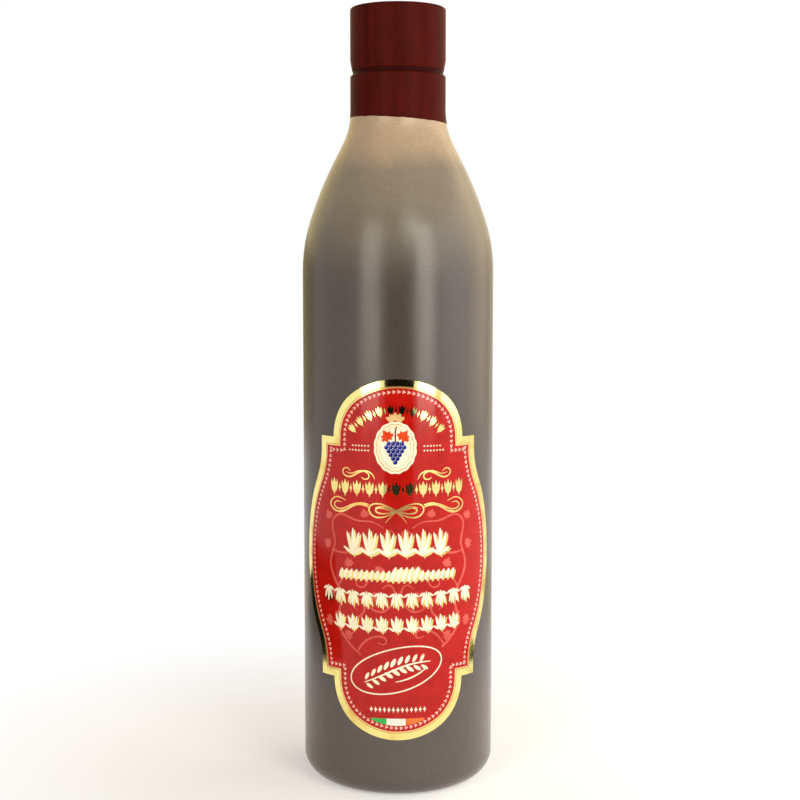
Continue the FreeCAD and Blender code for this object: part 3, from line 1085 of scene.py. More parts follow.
@dataclass
class Capsule:
    """Shrink capsule: a thin film over the closure and down the neck, cut a little askew."""

    bottle: Bottle
    film: float = 0.15
    film_reach: float = 4.9
    film_trim: float = 2.5
    film_slant: float = 3.6
    collar_height: float = 8.9
    collar_rings: tuple[float, ...] = (0.25, 0.75, 1.0)
    groove_depth: float = 0.8
    groove_chamfer: float = 0.6
    groove_height: float = 0.9
    lip_rise: float = 0.4
    bevel_height: float = 3.2
    bevel_depth: float = 0.55
    lid_height: float = 15.5
    lid_rings: tuple[float, ...] = (0.3, 0.7, 1.0)
    lid_edge_radius: float = 0.6
    top_rings: tuple[float, ...] = (9.0, 4.0, 0.0)
    bridge: float = 0.2
    bridge_reach: tuple[float, float] = (-0.2, 6.0)
    sharp: float = 50.0
    steps: int = 168

    def collar_top(self) -> float:
        """Return the height at which the closure's groove begins."""
        return self.bottle.seat() + self.collar_height

    def skin(self) -> list[Point]:
        """Draw the film's skin.

        Returns:
            The half outline from the film's foot to the middle of its top.
        """
        bottle = self.bottle
        radius = bottle.neck_radius + self.film
        arc = bottle.neck_arc_radius - self.film
        depth = self.film_reach + self.film_trim - bottle.neck_land
        sweep = math.asin(depth / arc)
        seat = bottle.seat()
        foot = bottle.neck_radius + bottle.neck_arc_radius - arc * math.cos(sweep)
        pen = Pen(foot, seat - self.film_reach - self.film_trim, 90 + math.degrees(sweep))
        pen.arc(arc, -math.degrees(sweep), step=1.5)
        for share in self.collar_rings:
            pen.to(radius, seat + share * self.collar_height)
        height = self.collar_top() + self.groove_chamfer
        pen.to(radius - self.groove_depth, height)
        height += self.groove_height
        pen.to(radius - self.groove_depth, height)
        height += self.lip_rise
        pen.to(radius - self.bevel_depth, height)
        height += self.bevel_height
        pen.to(radius, height)
        for share in self.lid_rings:
            pen.to(radius, height + share * self.lid_height, 90)
        pen.arc(self.lid_edge_radius + self.film, 90, step=15)
        top = pen.points[-1][1]
        for across in self.top_rings:
            pen.to(across, top)
        return pen.points

    def build(self) -> None:
        """Build the film and dress it."""
        item = Bench.turn("capsule_film", self.skin(), self.steps)
        lean = math.radians(self.film_slant)
        Bench.edit(item)
        bpy.ops.mesh.bisect(
            plane_co=(0, 0, (self.bottle.seat() - self.film_reach) * MM),
            plane_no=(math.sin(lean), 0, math.cos(lean)),
            clear_inner=True,
        )
        bpy.ops.object.mode_set(mode="OBJECT")
        self.soften_steps(item)
        Bench.thicken(item, self.film, -1.0)
        # The groove's middle, round which the film gets its painted shade.
        groove = self.collar_top() + self.groove_chamfer + 0.5 * self.groove_height
        Bench.dress(item, "capsule", ShrinkFilm(groove).make(), angle=self.sharp)
        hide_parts("capsule")

    def soften_steps(self, item: bpy.types.Object) -> None:
        """Round the film where it bridges the closure's groove and edges.

        Args:
            item: The film's skin.
        """
        low, high = ((self.collar_top() + reach) * MM for reach in self.bridge_reach)
        Bench.edit(item, "EDGE")
        bpy.ops.mesh.select_all(action="DESELECT")
        bpy.ops.object.mode_set(mode="OBJECT")
        vertices = item.data.vertices
        for edge in item.data.edges:
            first, second = (vertices[index].co for index in edge.vertices)
            level = abs(first.z - second.z) < 0.01 * MM
            edge.select = level and low < first.z < high
        bpy.ops.object.mode_set(mode="EDIT")
        bpy.ops.mesh.bevel(
            offset=self.bridge * MM, segments=3, affect="EDGES", clamp_overlap=True
        )
        bpy.ops.object.mode_set(mode="OBJECT")


# ---------------------------------------------------------------------------------------------
# Label
# ---------------------------------------------------------------------------------------------


@dataclass(frozen=True)
class Row:
    """A row of equal ornaments; a bowed row has its ends higher than its middle."""

    count: int
    pitch: float
    up: float
    width: float
    height: float
    turn: float = 0.0
    bow: float = 0.0

    def places(self, middle: float) -> list[Point]:
        """Return the places of the ornaments, from the left.

        Args:
            middle: Where the row's middle is.

        Returns:
            Each ornament's place.
        """
        half = (self.count - 1) / 2
        places = []
        for index in range(self.count):
            share = (index - half) / half
            across = middle + (index - half) * self.pitch
            places.append((across, self.up + self.bow * share * share))
        return places


@dataclass(frozen=True)
class Medallion:
    """The drawing of the medallion: a scalloped plate with grapes under two leaves."""

    across: float
    up: float = 35.0
    half_width: float = 6.5
    half_height: float = 8.0
    corners: int = 96
    lobes: int = 8
    scallop: float = 0.035
    trim: float = 0.02
    rings: tuple[tuple[float, int], ...] = ((0.7, 1), (0.3, 0), (0.7, 1), (0.18, 0))
    berry_rows: tuple[int, ...] = (4, 5, 4, 3, 2, 1)
    berry_pitch: float = 1.35
    row_pitch: float = 1.16
    bunch_top: float = 1.3
    leaf_out: float = 2.6
    leaf_up: float = 3.6
    leaf_size: tuple[float, float] = (4.2, 4.0)
    leaf_turn: float = 32.0
    finial_turns: tuple[float, ...] = (-62.0, -31.0, 0.0, 31.0, 62.0)
    finial_reach: tuple[float, float] = (1.9, 1.6)
    finial_up: float = 7.9
    finial_size: tuple[float, float] = (1.3, 2.6)

    def plate(self) -> list[Point]:
        """Draw the plate.

        Returns:
            Its outline.
        """
        points = []
        for index in range(self.corners):
            angle = math.tau * index / self.corners
            swell = 1 + self.scallop * abs(math.sin(angle * self.lobes)) - self.trim
            across = self.across + self.half_width * swell * math.cos(angle)
            points.append((across, self.up + self.half_height * swell * math.sin(angle)))
        return points

    def berries(self, size: float, right: float = 0.0, higher: float = 0.0) -> list[Stamp]:
        """Place one disc on each berry, row by row from the top.

        Args:
            size: The discs' width.
            right: How far each lies to the right of the berry's middle.
            higher: How far above it.

        Returns:
            The discs.
        """
        stamps = []
        for row, count in enumerate(self.berry_rows):
            up = self.up + self.bunch_top - row * self.row_pitch
            for index in range(count):
                across = self.across + (index - (count - 1) / 2) * self.berry_pitch
                stamps.append(Stamp(Motif.DISC, across + right, up + higher, size, size))
        return stamps

    def leaves(self) -> list[Stamp]:
        """Place the two leaves over the bunch.

        Returns:
            The leaves.
        """
        stamps = []
        for side in (-1, 1):
            across, turn = self.across + side * self.leaf_out, -side * self.leaf_turn
            stamps.append(Stamp(Motif.VINE, across, self.up + self.leaf_up, *self.leaf_size, turn))
        return stamps

    def finial(self) -> list[Stamp]:
        """Place the fan of leaves on top of the plate.

        Returns:
            The leaves.
        """
        stamps = []
        for turn in self.finial_turns:
            across = self.across + self.finial_reach[0] * math.sin(math.radians(turn))
            up = self.up + self.finial_up + self.finial_reach[1] * math.cos(math.radians(turn))
            stamps.append(Stamp(Motif.LEAF, across, up, *self.finial_size, -turn))
        return stamps

    def stalk(self) -> Stroke:
        """Return the bunch's stalk."""
        line = ((0.0, 1.6, 0.5), (0.2, 3.6, 0.5), (-0.3, 5.4, 0.6), (0.5, 6.4, 0.3))
        return Stroke(tuple((self.across + x, self.up + z, width) for x, z, width in line))


@dataclass
class Label:
    """Cartouche label, drawn and printed flat and then bent round the bottle."""

    radius: float
    centre: float
    width: float = 71.0
    height: float = 111.8
    step_width: float = 53.6
    lobe_width: float = 42.8
    lobe_height: float = 18.3
    lobe_sweep: float = 57.0
    land: float = 3.6
    hollow_radius: float = 20.8
    thickness: float = 0.2
    foil_width: float = 2.1
    dark_line: float = 0.22
    fine_line: float = 0.38
    bead_inset: float = 4.25
    bead_stretch: float = 1.008
    bead_pitch: float = 1.52
    bead_size: tuple[float, float] = (1.0, 1.25)
    stripe_inset: float = 4.55
    shadow: float = 0.6
    shadow_from: float = 2.4
    middle: float = -0.5
    slice_pitch: float = 1.5
    sunk: float = 0.01
    stroke_flatness: float = 0.04
    case: MotifCase = field(default_factory=MotifCase)

    # --- outline -----------------------------------------------------------------------------

    def quarter(self, inset: float) -> list[Point]:
        """Draw the upper right quarter of the outline.

        Args:
            inset: How far it is moved in.

        Returns:
            Its points, from the middle of the right side to the middle of the top.
        """
        half_width, half_step, half_lobe = self.width / 2, self.step_width / 2, self.lobe_width / 2
        corner = self.height / 2 - self.lobe_height
        rise = corner - self.land
        lean = 2 * math.atan2(half_width - half_step, rise)
        swell = rise / math.sin(lean) - self.hollow_radius
        sweep = math.radians(self.lobe_sweep)
        side = self.lobe_height * math.cos(sweep) - half_lobe * (1 - math.sin(sweep))
        side /= math.cos(sweep) + math.sin(sweep) - 1
        crown = (half_lobe - side * (1 - math.cos(sweep))) / math.cos(sweep)
        pen = Pen(half_width - inset, 0, 90)
        pen.arc(swell - inset, math.degrees(lean), step=2.4)
        pen.arc(self.hollow_radius + inset, -math.degrees(lean), step=2.4)
        pen.to(half_step - inset, corner - inset)
        pen.to(half_lobe - inset, corner - inset, 90)
        if inset:
            pen.to(half_lobe - inset, corner)
        pen.arc(side - inset, self.lobe_sweep, step=4.0)
        pen.arc(crown - inset, 90 - self.lobe_sweep)
        pen.points[-1] = (0.0, pen.points[-1][1])
        return pen.points

    def outline(self, inset: float = 0.0) -> list[Point]:
        """Draw the whole outline.

        Args:
            inset: How far it is moved in.

        Returns:
            Its points, anticlockwise from the middle of the right side.
        """
        upper_right = self.quarter(inset)
        upper = upper_right + [(-across, up) for across, up in reversed(upper_right[:-1])]
        return upper + [(across, -up) for across, up in reversed(upper[1:-1])]

    # --- laying flat work on the bottle ------------------------------------------------------

    def lay(
        self,
        item: bpy.types.Object,
        lift: float,
        *materials: bpy.types.Material,
        depth: float | None = None,
        solid: bool = True,
    ) -> None:
        """Give flat work its thickness, bend it round the bottle and dress it.

        Args:
            item: The flat piece, at the label's own places.
            lift: How far its face stands off the bottle, in millimetres.
            materials: Its materials, or none where it has them.
            depth: Its thickness in millimetres, or None for all of the lift.
            solid: Whether it still needs that thickness.
        """
        if solid:
            thick = lift if depth is None else depth
            Bench.slice(item, self.slice_pitch)
            Bench.thicken(item, thick, 1.0)
            lift -= thick
        sides = [vertex.co.x for vertex in item.data.vertices]
        spread = (max(sides) - min(sides)) / (self.radius * MM)
        Bench.shift(item, 0, lift, self.centre)
        Bench.modify(
            item, "SIMPLE_DEFORM", deform_method="BEND", deform_axis="Z", angle=spread
        )
        Bench.shift(item, 0, self.radius, 0)
        Bench.dress(item, "label", *materials)

    def print_flat(
        self, item: bpy.types.Object, lift: float, *materials: bpy.types.Material
    ) -> None:
        """Print a flat piece whose face stands off the label by `lift`, sunk a little into it."""
        self.lay(item, self.thickness + lift, *materials, depth=lift + self.sunk)

    def print_motifs(
        self, name: str, stamps: Iterable[Stamp], finish: Finish, lift: float
    ) -> None:
        """Print a set of motifs as one piece.

        Args:
            name: The piece's name.
            stamps: The motifs.
            finish: Its foil or ink.
            lift: How far its face stands off the label, in millimetres.
        """
        material = finish.make()
        copies = [self.case.copy(stamp) for stamp in stamps]
        self.print_flat(Bench.join(name, copies), lift, material)

    def print_strokes(
        self,
        name: str,
        strokes: Iterable[Stroke],
        finish: Finish,
        lift: float,
        closed: bool = False,
    ) -> None:
        """Print a set of swelling lines as one piece of flattened tubes.

        Args:
            name: The piece's name.
            strokes: The lines.
            finish: Its foil or ink.
            lift: How far the tubes' middle stands off the label, in millimetres.
            closed: Whether each line is closed.
        """
        material = finish.make()
        Bench.clear()
        bpy.ops.curve.primitive_nurbs_path_add()
        item = bpy.context.object
        curve = item.data
        curve.splines.clear()
        for stroke in strokes:
            spline = curve.splines.new("NURBS")
            spline.points.add(len(stroke.points) - 1)
            for point, (across, up, width) in zip(spline.points, stroke.points):
                point.co = (across * MM, 0, up * MM, 1)
                point.radius = width / 2
            spline.use_cyclic_u = closed
            spline.use_endpoint_u = not closed
            spline.order_u = 4
            spline.resolution_u = 5
        curve.bevel_depth = MM
        curve.bevel_resolution = 1
        curve.use_fill_caps = True
        bpy.ops.object.convert(target="MESH")
        item = bpy.context.object
        item.name = name
        item.data.name = name
        Bench.edit(item)
        bpy.ops.transform.resize(value=(1, self.stroke_flatness, 1))
        bpy.ops.mesh.normals_make_consistent(inside=False)
        bpy.ops.object.mode_set(mode="OBJECT")
        self.lay(item, self.thickness + lift, material, solid=False)

    # --- the printed work --------------------------------------------------------------------

    def build_panel(self) -> None:
        """Build the label itself: foil border, dark line, fine foil line and red field."""
        item = Bench.trace("label_panel", self.outline(), closed=True)
        finishes = (GOLD, GROOVE, FINE_GOLD, VarnishedInk(Ink.RED))
        Bench.paint(item, *(finish.make() for finish in finishes))
        Bench.inset(item, ((self.foil_width, 1), (self.dark_line, 2), (self.fine_line, 3)))
        self.lay(item, self.thickness)
        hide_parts("label")

    @staticmethod
    def follow(path: Sequence[Vector], distance: float) -> tuple[Vector, float]:
        """Follow a path from its start.

        Args:
            path: The path's corners.
            distance: How far to go.

        Returns:
            The place there, and the path's heading in degrees.
        """
        for start, end in zip(path, path[1:]):
            length = (end - start).length
            if distance <= length:
                heading = math.degrees(math.atan2(end.y - start.y, end.x - start.x))
                return start.lerp(end, distance / length), heading
            distance -= length
        return path[-1], 0.0

    def build_beads(self) -> None:
        """Print the row of beads inside the foil, which point from the left side to the right."""
        path = [
            Vector((across, up * self.bead_stretch))
            for across, up in reversed(self.outline(self.bead_inset))
        ]
        path.append(path[0])
        length = sum((end - start).length for start, end in zip(path, path[1:]))
        count = round(length / self.bead_pitch)
        stamps = []
        for index in range(count):
            spot, turn = self.follow(path, (index + 0.5) * length / count)
            turn += 180 if spot.y < 0 else 0
            stamps.append(Stamp(Motif.BEAD, spot.x, spot.y, *self.bead_size, turn))
        self.print_motifs("label_beads", stamps, VarnishedInk(Ink.PINK), lift=0.02)

    def build_arch(self) -> None:
        """Print the foil garland that arches over the medallion."""
        centre, radius, half_spread, count = 27.6, 18.9, 47.0, 19
        stamps = []
        for index in range(count):
            turn = (index / (count - 1) * 2 - 1) * half_spread
            across = self.middle + radius * math.sin(math.radians(turn))
            up = centre + radius * math.cos(math.radians(turn))
            if index % 2:
                stamps.append(Stamp(Motif.LOZENGE, across, up, 0.8, 2.4, -turn))
            else:
                stamps.append(Stamp(Motif.TULIP, across, up, 1.95, 3.7, -turn))
        self.print_motifs("label_arch_garland", stamps, GOLD, lift=0.03)

    def build_frieze(self) -> None:
        """Print the upright foil frieze below the medallion."""
        half_length, low, bow, growth, count = 20.6, 22.1, 0.15, 0.6, 21
        stamps = []
        for index in range(count):
            share = index / (count - 1) * 2 - 1
            across = self.middle + share * half_length
            up = low + bow * share * share
            if index % 2:
                stamps.append(Stamp(Motif.LOZENGE, across, up, 1.0, 3.2))
            else:
                height = 5.1 + growth * share * share
                stamps.append(Stamp(Motif.TULIP, across, up, 2.7, height))
        self.print_motifs("label_frieze", stamps, GOLD, lift=0.03)

    def build_scrolls(self) -> None:
        """Print the foil scrolls above and below the frieze, and the knot between them."""
        upper = [
            Stroke(((-14.6, 27.4, 0.2), (-15.2, 28.6, 0.4), (-17.2, 28.4, 0.5), (-17.6, 26.4, 0.5),
                    (-15.0, 25.2, 0.6), (-12.4, 26.8, 0.7), (-9.8, 28.2, 0.6), (-7.0, 27.0, 0.5),
                    (-6.6, 25.2, 0.2))),
            Stroke(((-16.2, 27.2, 0.2), (-14.4, 26.2, 0.4), (-12.0, 28.0, 0.5), (-9.6, 27.6, 0.4),
                    (-8.2, 26.6, 0.4), (-8.4, 25.2, 0.5), (-10.2, 24.9, 0.4), (-10.8, 25.8, 0.2))),
        ]
        lower = [
            Stroke(((-16.3, 18.2, 0.2), (-18.2, 19.2, 0.4), (-20.2, 19.2, 0.5), (-21.9, 17.9, 0.6),
                    (-22.4, 16.4, 0.6), (-20.8, 14.7, 0.6), (-17.6, 14.3, 0.7), (-14.6, 16.2, 0.7),
                    (-11.6, 18.4, 0.6), (-8.4, 17.3, 0.4))),
            Stroke(((-17.9, 17.6, 0.2), (-19.6, 18.0, 0.4), (-20.9, 17.0, 0.5), (-20.4, 15.6, 0.5),
                    (-17.6, 15.2, 0.5), (-14.4, 17.1, 0.5), (-11.6, 18.0, 0.5), (-8.8, 16.9, 0.3))),
            Stroke(((-18.6, 14.9, 0.2), (-16.4, 15.0, 0.5), (-13.8, 16.8, 0.5), (-11.2, 17.6, 0.4),
                    (-8.6, 16.6, 0.2))),
        ]
        knot = [
            Stroke(((0.0, 15.6, 0.5), (3.4, 17.7, 0.5), (7.4, 18.2, 0.5), (9.0, 15.9, 0.5),
                    (7.0, 13.3, 0.5), (3.4, 13.5, 0.5), (-0.6, 15.8, 0.5), (-4.2, 17.5, 0.4),
                    (-6.5, 16.4, 0.3))),
            Stroke(((1.2, 15.4, 0.3), (4.2, 16.7, 0.5), (6.3, 16.5, 0.5), (6.5, 15.1, 0.5),
                    (4.0, 14.4, 0.5), (0.4, 15.4, 0.4), (-3.2, 16.7, 0.3))),
            Stroke(((0.0, 15.4, 0.4), (1.6, 14.0, 0.4), (3.0, 12.5, 0.4), (3.2, 11.8, 0.2))),
        ]
        strokes = [stroke.moved(self.middle) for stroke in self.both_sides(upper + lower + knot)]
        self.print_strokes("label_scrolls", strokes, SCROLL_GOLD, lift=0.012)

    @staticmethod
    def both_sides(strokes: Iterable[Stroke]) -> list[Stroke]:
        """Return each stroke, followed by the same stroke on the other side."""
        return [side for stroke in strokes for side in (stroke, stroke.mirrored())]

    def build_medallion(self) -> None:
        """Print the medallion."""
        medallion = Medallion(self.middle - 0.3)
        plate = Bench.trace("medallion_plate", medallion.plate(), closed=True)
        sand = VarnishedInk(Ink.SAND)
        Bench.paint(plate, VarnishedInk(Ink.CREAM).make(), sand.make())
        Bench.inset(plate, medallion.rings)
        self.print_flat(plate, 0.02)
        grapes, shines = medallion.berries(1.36), medallion.berries(0.44, -0.24, 0.26)
        self.print_motifs("medallion_grapes", grapes, VarnishedInk(Ink.BLUE), lift=0.035)
        self.print_motifs("medallion_shine", shines, VarnishedInk(Ink.SKY), lift=0.045)
        vermilion = VarnishedInk(Ink.VERMILION)
        self.print_motifs("medallion_leaves", medallion.leaves(), vermilion, lift=0.04)
        self.print_motifs("medallion_finial", medallion.finial(), sand, lift=0.03)
        maroon = VarnishedInk(Ink.MAROON)
        self.print_strokes("medallion_stalk", [medallion.stalk()], maroon, lift=0.04)

    def build_vines(self) -> None:
        """Print the faint vine scrolls behind the middle of the field."""
        half = [
            Stroke(((-20.6, -19.5, 1.0), (-17.0, -12.6, 0.9), (-21.0, -7.5, 0.9),
                    (-24.0, -1.0, 0.9), (-19.6, 4.6, 0.9), (-23.4, 11.0, 0.8),
                    (-18.5, 15.2, 0.7), (-12.6, 11.0, 0.7), (-7.6, 13.0, 0.5),
                    (-4.4, 10.2, 0.3))),
            Stroke(((-20.6, -17.0, 0.5), (-15.4, -19.6, 0.8), (-10.4, -17.4, 0.8),
                    (-9.8, -12.8, 0.7), (-13.4, -11.4, 0.6), (-15.2, -14.2, 0.5),
                    (-12.8, -15.6, 0.3))),
            Stroke(((-20.2, -10.0, 0.5), (-17.8, -4.6, 0.8), (-12.6, -2.6, 0.8),
                    (-8.6, -5.6, 0.7), (-10.6, -9.4, 0.6), (-14.0, -7.8, 0.5),
                    (-12.6, -5.8, 0.3))),
            Stroke(((-22.2, 2.4, 0.5), (-17.4, 1.2, 0.8), (-12.4, 3.0, 0.8), (-11.4, 7.6, 0.7),
                    (-15.2, 9.0, 0.6), (-17.0, 6.2, 0.5), (-14.6, 5.0, 0.3))),
            Stroke(((-9.4, -14.0, 0.4), (-5.6, -17.0, 0.7), (-2.0, -14.4, 0.7), (0.0, -9.8, 0.6),
                    (-2.6, -6.0, 0.5), (-4.8, -8.6, 0.3))),
            Stroke(((-11.8, 4.6, 0.4), (-7.4, 1.6, 0.7), (-3.2, 3.6, 0.7), (0.0, 8.0, 0.5),
                    (-2.4, 10.6, 0.4), (-4.2, 8.2, 0.3))),
        ]
        strokes = [
            Stroke(((-11.6, -29.6, 0.5), (-15.0, -27.4, 0.9), (-18.8, -23.4, 1.0),
                    (-20.6, -19.5, 1.0))),
            Stroke(((-12.8, -28.8, 0.5), (-11.0, -25.0, 0.8), (-6.0, -22.6, 0.8),
                    (-2.6, -24.4, 0.7), (-4.2, -26.6, 0.5), (-6.2, -25.4, 0.3))),
            Stroke(((13.9, -27.4, 0.5), (16.2, -25.8, 0.9), (19.2, -22.6, 1.0),
                    (20.6, -19.5, 1.0))),
            Stroke(((14.8, -26.8, 0.5), (12.6, -22.8, 0.8), (7.6, -20.6, 0.8),
                    (4.6, -22.4, 0.7), (6.0, -24.6, 0.5), (8.0, -23.4, 0.3))),
        ]
        strokes += self.both_sides(half)
        rose = VarnishedInk(Ink.ROSE)
        self.print_strokes("label_vine_scrolls", strokes, rose, lift=0.006)
        leaves = []
        for across, up, turn, size in (
            (-23.4, -20.0, 100, 3.6), (-22.4, -11.4, 80, 3.4), (-24.2, 4.2, 70, 3.4),
            (-23.6, 13.2, 30, 3.2), (-15.6, -23.6, -60, 3.4),
            (-6.6, -11.0, -40, 3.8), (-15.8, -1.0, 20, 3.4), (-7.6, 5.6, -20, 3.6),
            (-5.8, -20.4, 10, 3.4), (-10.4, 14.6, 10, 3.0), (-5.6, -3.0, -70, 3.4),
        ):
            leaves.append(Stamp(Motif.VINE, across, up, size, size, turn))
            leaves.append(Stamp(Motif.VINE, -across, up, size, size, -turn))
        self.print_motifs("label_vine_leaves", leaves, rose, lift=0.012)

    def build_ornaments(self) -> None:
        """Print the cream ornament rows with their foil shadows."""
        stamps = self.cream_rows()
        shadows = [
            replace(stamp, across=stamp.across + self.shadow, up=stamp.up - self.shadow)
            for stamp in stamps
            if stamp.height > self.shadow_from
        ]
        self.print_motifs("label_shadows", shadows, GOLD, lift=0.02)
        self.print_motifs("label_ornaments", stamps, VarnishedInk(Ink.CREAM), lift=0.035)

    @staticmethod
    def palmette(across: float, up: float, row: Row) -> list[Stamp]:
        """Draw a palmette of five leaves.

        Args:
            across: The palmette's middle.
            up: Its middle's height.
            row: Its row, with its size and a turn of 0 to stand or 180 to hang.

        Returns:
            Its leaves.
        """
        way = -1 if row.turn else 1
        middle = 0.23 * row.width
        leaves = [Stamp(Motif.LEAF, across, up, middle, row.height, row.turn)]
        for side in (-1, 1):
            for out, drop, width, height, lean in (
                (0.26, 0.02, 0.88, 0.78, 14),
                (0.36, 0.3, 0.8, 0.42, 58),
            ):
                leaves.append(
                    Stamp(
                        Motif.LEAF,
                        across + side * out * row.width,
                        up - way * drop * row.height,
                        width * middle,
                        height * row.height,
                        row.turn - side * way * lean,
                    )
                )
        return leaves

    def cream_rows(self) -> list[Stamp]:
        """Place the cream ornaments.

        Returns:
            The ornaments, row by row.
        """
        crown = Row(count=6, pitch=5.5, up=5.6, width=4.9, height=8.8)
        leaves = Row(count=22, pitch=1.72, up=-4.4, width=1.15, height=3.3, turn=-20)
        tall_up, tall_size, tall_leaves = -4.0, (1.35, 4.9), range(10, 15)
        hanging = Row(count=11, pitch=4.64, up=-12.1, width=3.9, height=5.1, turn=180, bow=0.7)
        standing = Row(count=9, pitch=4.65, up=-19.6, width=3.9, height=5.3, bow=0.3)
        wing_out, wing_pitch, wing_rows = 8.6, 1.02, ((35.4, 6), (34.0, 7))
        foot = Row(count=13, pitch=1.38, up=-46.35, width=1.1, height=1.9)
        stamps = []
        for place in crown.places(self.middle):
            stamps += self.palmette(*place, crown)
        for index, (across, up) in enumerate(leaves.places(self.middle)):
            size = (leaves.width, leaves.height)
            if index in tall_leaves:
                up, size = tall_up, tall_size
            stamps.append(Stamp(Motif.LEAF, across, up, *size, leaves.turn))
        for row in (hanging, standing):
            for place in row.places(self.middle):
                stamps += self.palmette(*place, row)
        for side in (-1, 1):
            for up, count in wing_rows:
                for index in range(count):
                    across = self.middle + side * (wing_out + index * wing_pitch)
                    stamps.append(Stamp(Motif.LOZENGE, across, up, 0.86, 0.7))
        for across, up in foot.places(self.middle + 0.5):
            stamps.append(Stamp(Motif.LOZENGE, across, up, foot.width, foot.height))
        return stamps

    def build_oval(self) -> None:
        """Print the tilted oval ring with a leafy sprig in it."""
        centre = Vector((self.middle - 0.1, -34.0))
        tilt, half_length, half_height, line_width, corners = 14.8, 14.9, 6.8, 0.48, 28
        turned = Matrix.Rotation(math.radians(tilt), 2)

        def spot(along: float, out: float) -> Vector:
            """Return a point given along and across the oval."""
            return centre + turned @ Vector((along, out))

        ring = []
        for index in range(corners):
            angle = math.tau * index / corners
            at = spot(half_length * math.cos(angle), half_height * math.sin(angle))
            ring.append((at.x, at.y, line_width))
        cream = VarnishedInk(Ink.CREAM)
        oval = [Stroke(tuple(ring))]
        self.print_strokes("label_oval_ring", oval, cream, lift=0.03, closed=True)
        stem = ((-10.6, -1.4, 0.3), (-5.0, -0.6, 0.6), (1.0, 0.9, 0.7), (7.0, 0.9, 0.6),
                (11.0, -0.2, 0.3))
        under = ((-1.0, -3.4, 0.3), (3.0, -3.9, 0.7), (7.6, -2.9, 0.6), (9.6, -1.5, 0.3))
        lines = []
        for line in (stem, under):
            lines.append(Stroke(tuple((*spot(along, out), width) for along, out, width in line)))
        self.print_strokes("label_sprig_stem", lines, cream, lift=0.03)
        start, length, pairs, reach, spread = -9.2, 18.0, 9, 1.55, 48
        leaves = []
        for index in range(pairs):
            share = index / (pairs - 1)
            bow = -1.2 + 2.3 * math.sin(math.pi * share * 0.8)
            size = 1.0 - 0.35 * abs(share - 0.5)
            for side in (-1, 1):
                at = spot(start + length * share, bow + side * reach)
                turn = tilt - 90 + side * spread
                leaves.append(Stamp(Motif.LEAF, at.x, at.y, 1.25 * size, 3.1 * size, turn))
        self.print_motifs("label_sprig_leaves", leaves, cream, lift=0.03)

    def build_stripes(self) -> None:
        """Print the three stripes at the foot of the field."""
        inks = (Ink.GREEN, Ink.WHITE, Ink.ORANGE)
        bounds = (-8.4, -3.5, 2.35, 8.2)
        top, least, steps = -49.1, 0.3, 6
        edge = [point for point in self.outline(self.stripe_inset) if point[1] < -45]

        def floor(across: float) -> float:
            """Find how low a stripe reaches.

            Args:
                across: The place across.

            Returns:
                The height of its lower edge there.
            """
            for (left, low), (right, high) in zip(edge, edge[1:]):
                if left <= across <= right:
                    return low + (high - low) * (across - left) / (right - left)
            return top

        for ink, left, right in zip(inks, bounds, bounds[1:]):
            lower = []
            for index in range(steps + 1):
                across = left + (right - left) * index / steps
                lower.append((across, min(floor(across), top - least)))
            name = f"label_stripe_{ink.name.lower()}"
            stripe = Bench.trace(name, lower + [(right, top), (left, top)], closed=True)
            self.print_flat(stripe, 0.02, VarnishedInk(ink).make())

    def build(self) -> None:
        """Build the panel and everything printed on it."""
        self.build_panel()
        self.build_beads()
        self.build_arch()
        self.build_medallion()
        self.build_frieze()
        self.build_scrolls()
        self.build_vines()
        self.build_ornaments()
        self.build_oval()
        self.build_stripes()
        self.case.close()


# ---------------------------------------------------------------------------------------------
# Studio
# ---------------------------------------------------------------------------------------------


@dataclass(frozen=True)
class Softbox:
    """A rectangular lamp that looks at a point on the bottle's axis."""

    name: str
    azimuth: float
    elevation: float
    distance: float
    width: float
    height: float
    level: float
    tint: Colour = (1.0, 1.0, 1.0)
    target: float = 0.12
    mirrored: bool = True

    def place(self) -> Vector:
        """Find where it stands; azimuth 0 is in front and grows to the right.

        Returns:
            Its middle, in metres.
        """
        turn, rise = math.radians(self.azimuth), math.radians(self.elevation)
        reach = self.distance * math.cos(rise)
        height = self.target + self.distance * math.sin(rise)
        return Vector((reach * math.sin(turn), -reach * math.cos(turn), height))

    def add(self) -> None:
        """Add the lamp, out of the camera's sight."""
        data = bpy.data.lights.new(self.name, "AREA")
        data.shape = "RECTANGLE"
        data.size = self.width
        data.size_y = self.height
        data.energy = self.level * math.pi * self.width * self.height
        data.color = self.tint
        lamp = bpy.data.objects.new(self.name, data)
        bpy.context.scene.collection.objects.link(lamp)
        lamp.location = self.place()
        aim = Vector((0, 0, self.target)) - lamp.location
        lamp.rotation_euler = aim.to_track_quat("-Z", "Y").to_euler()
        lamp.visible_camera = False
        lamp.visible_glossy = self.mirrored


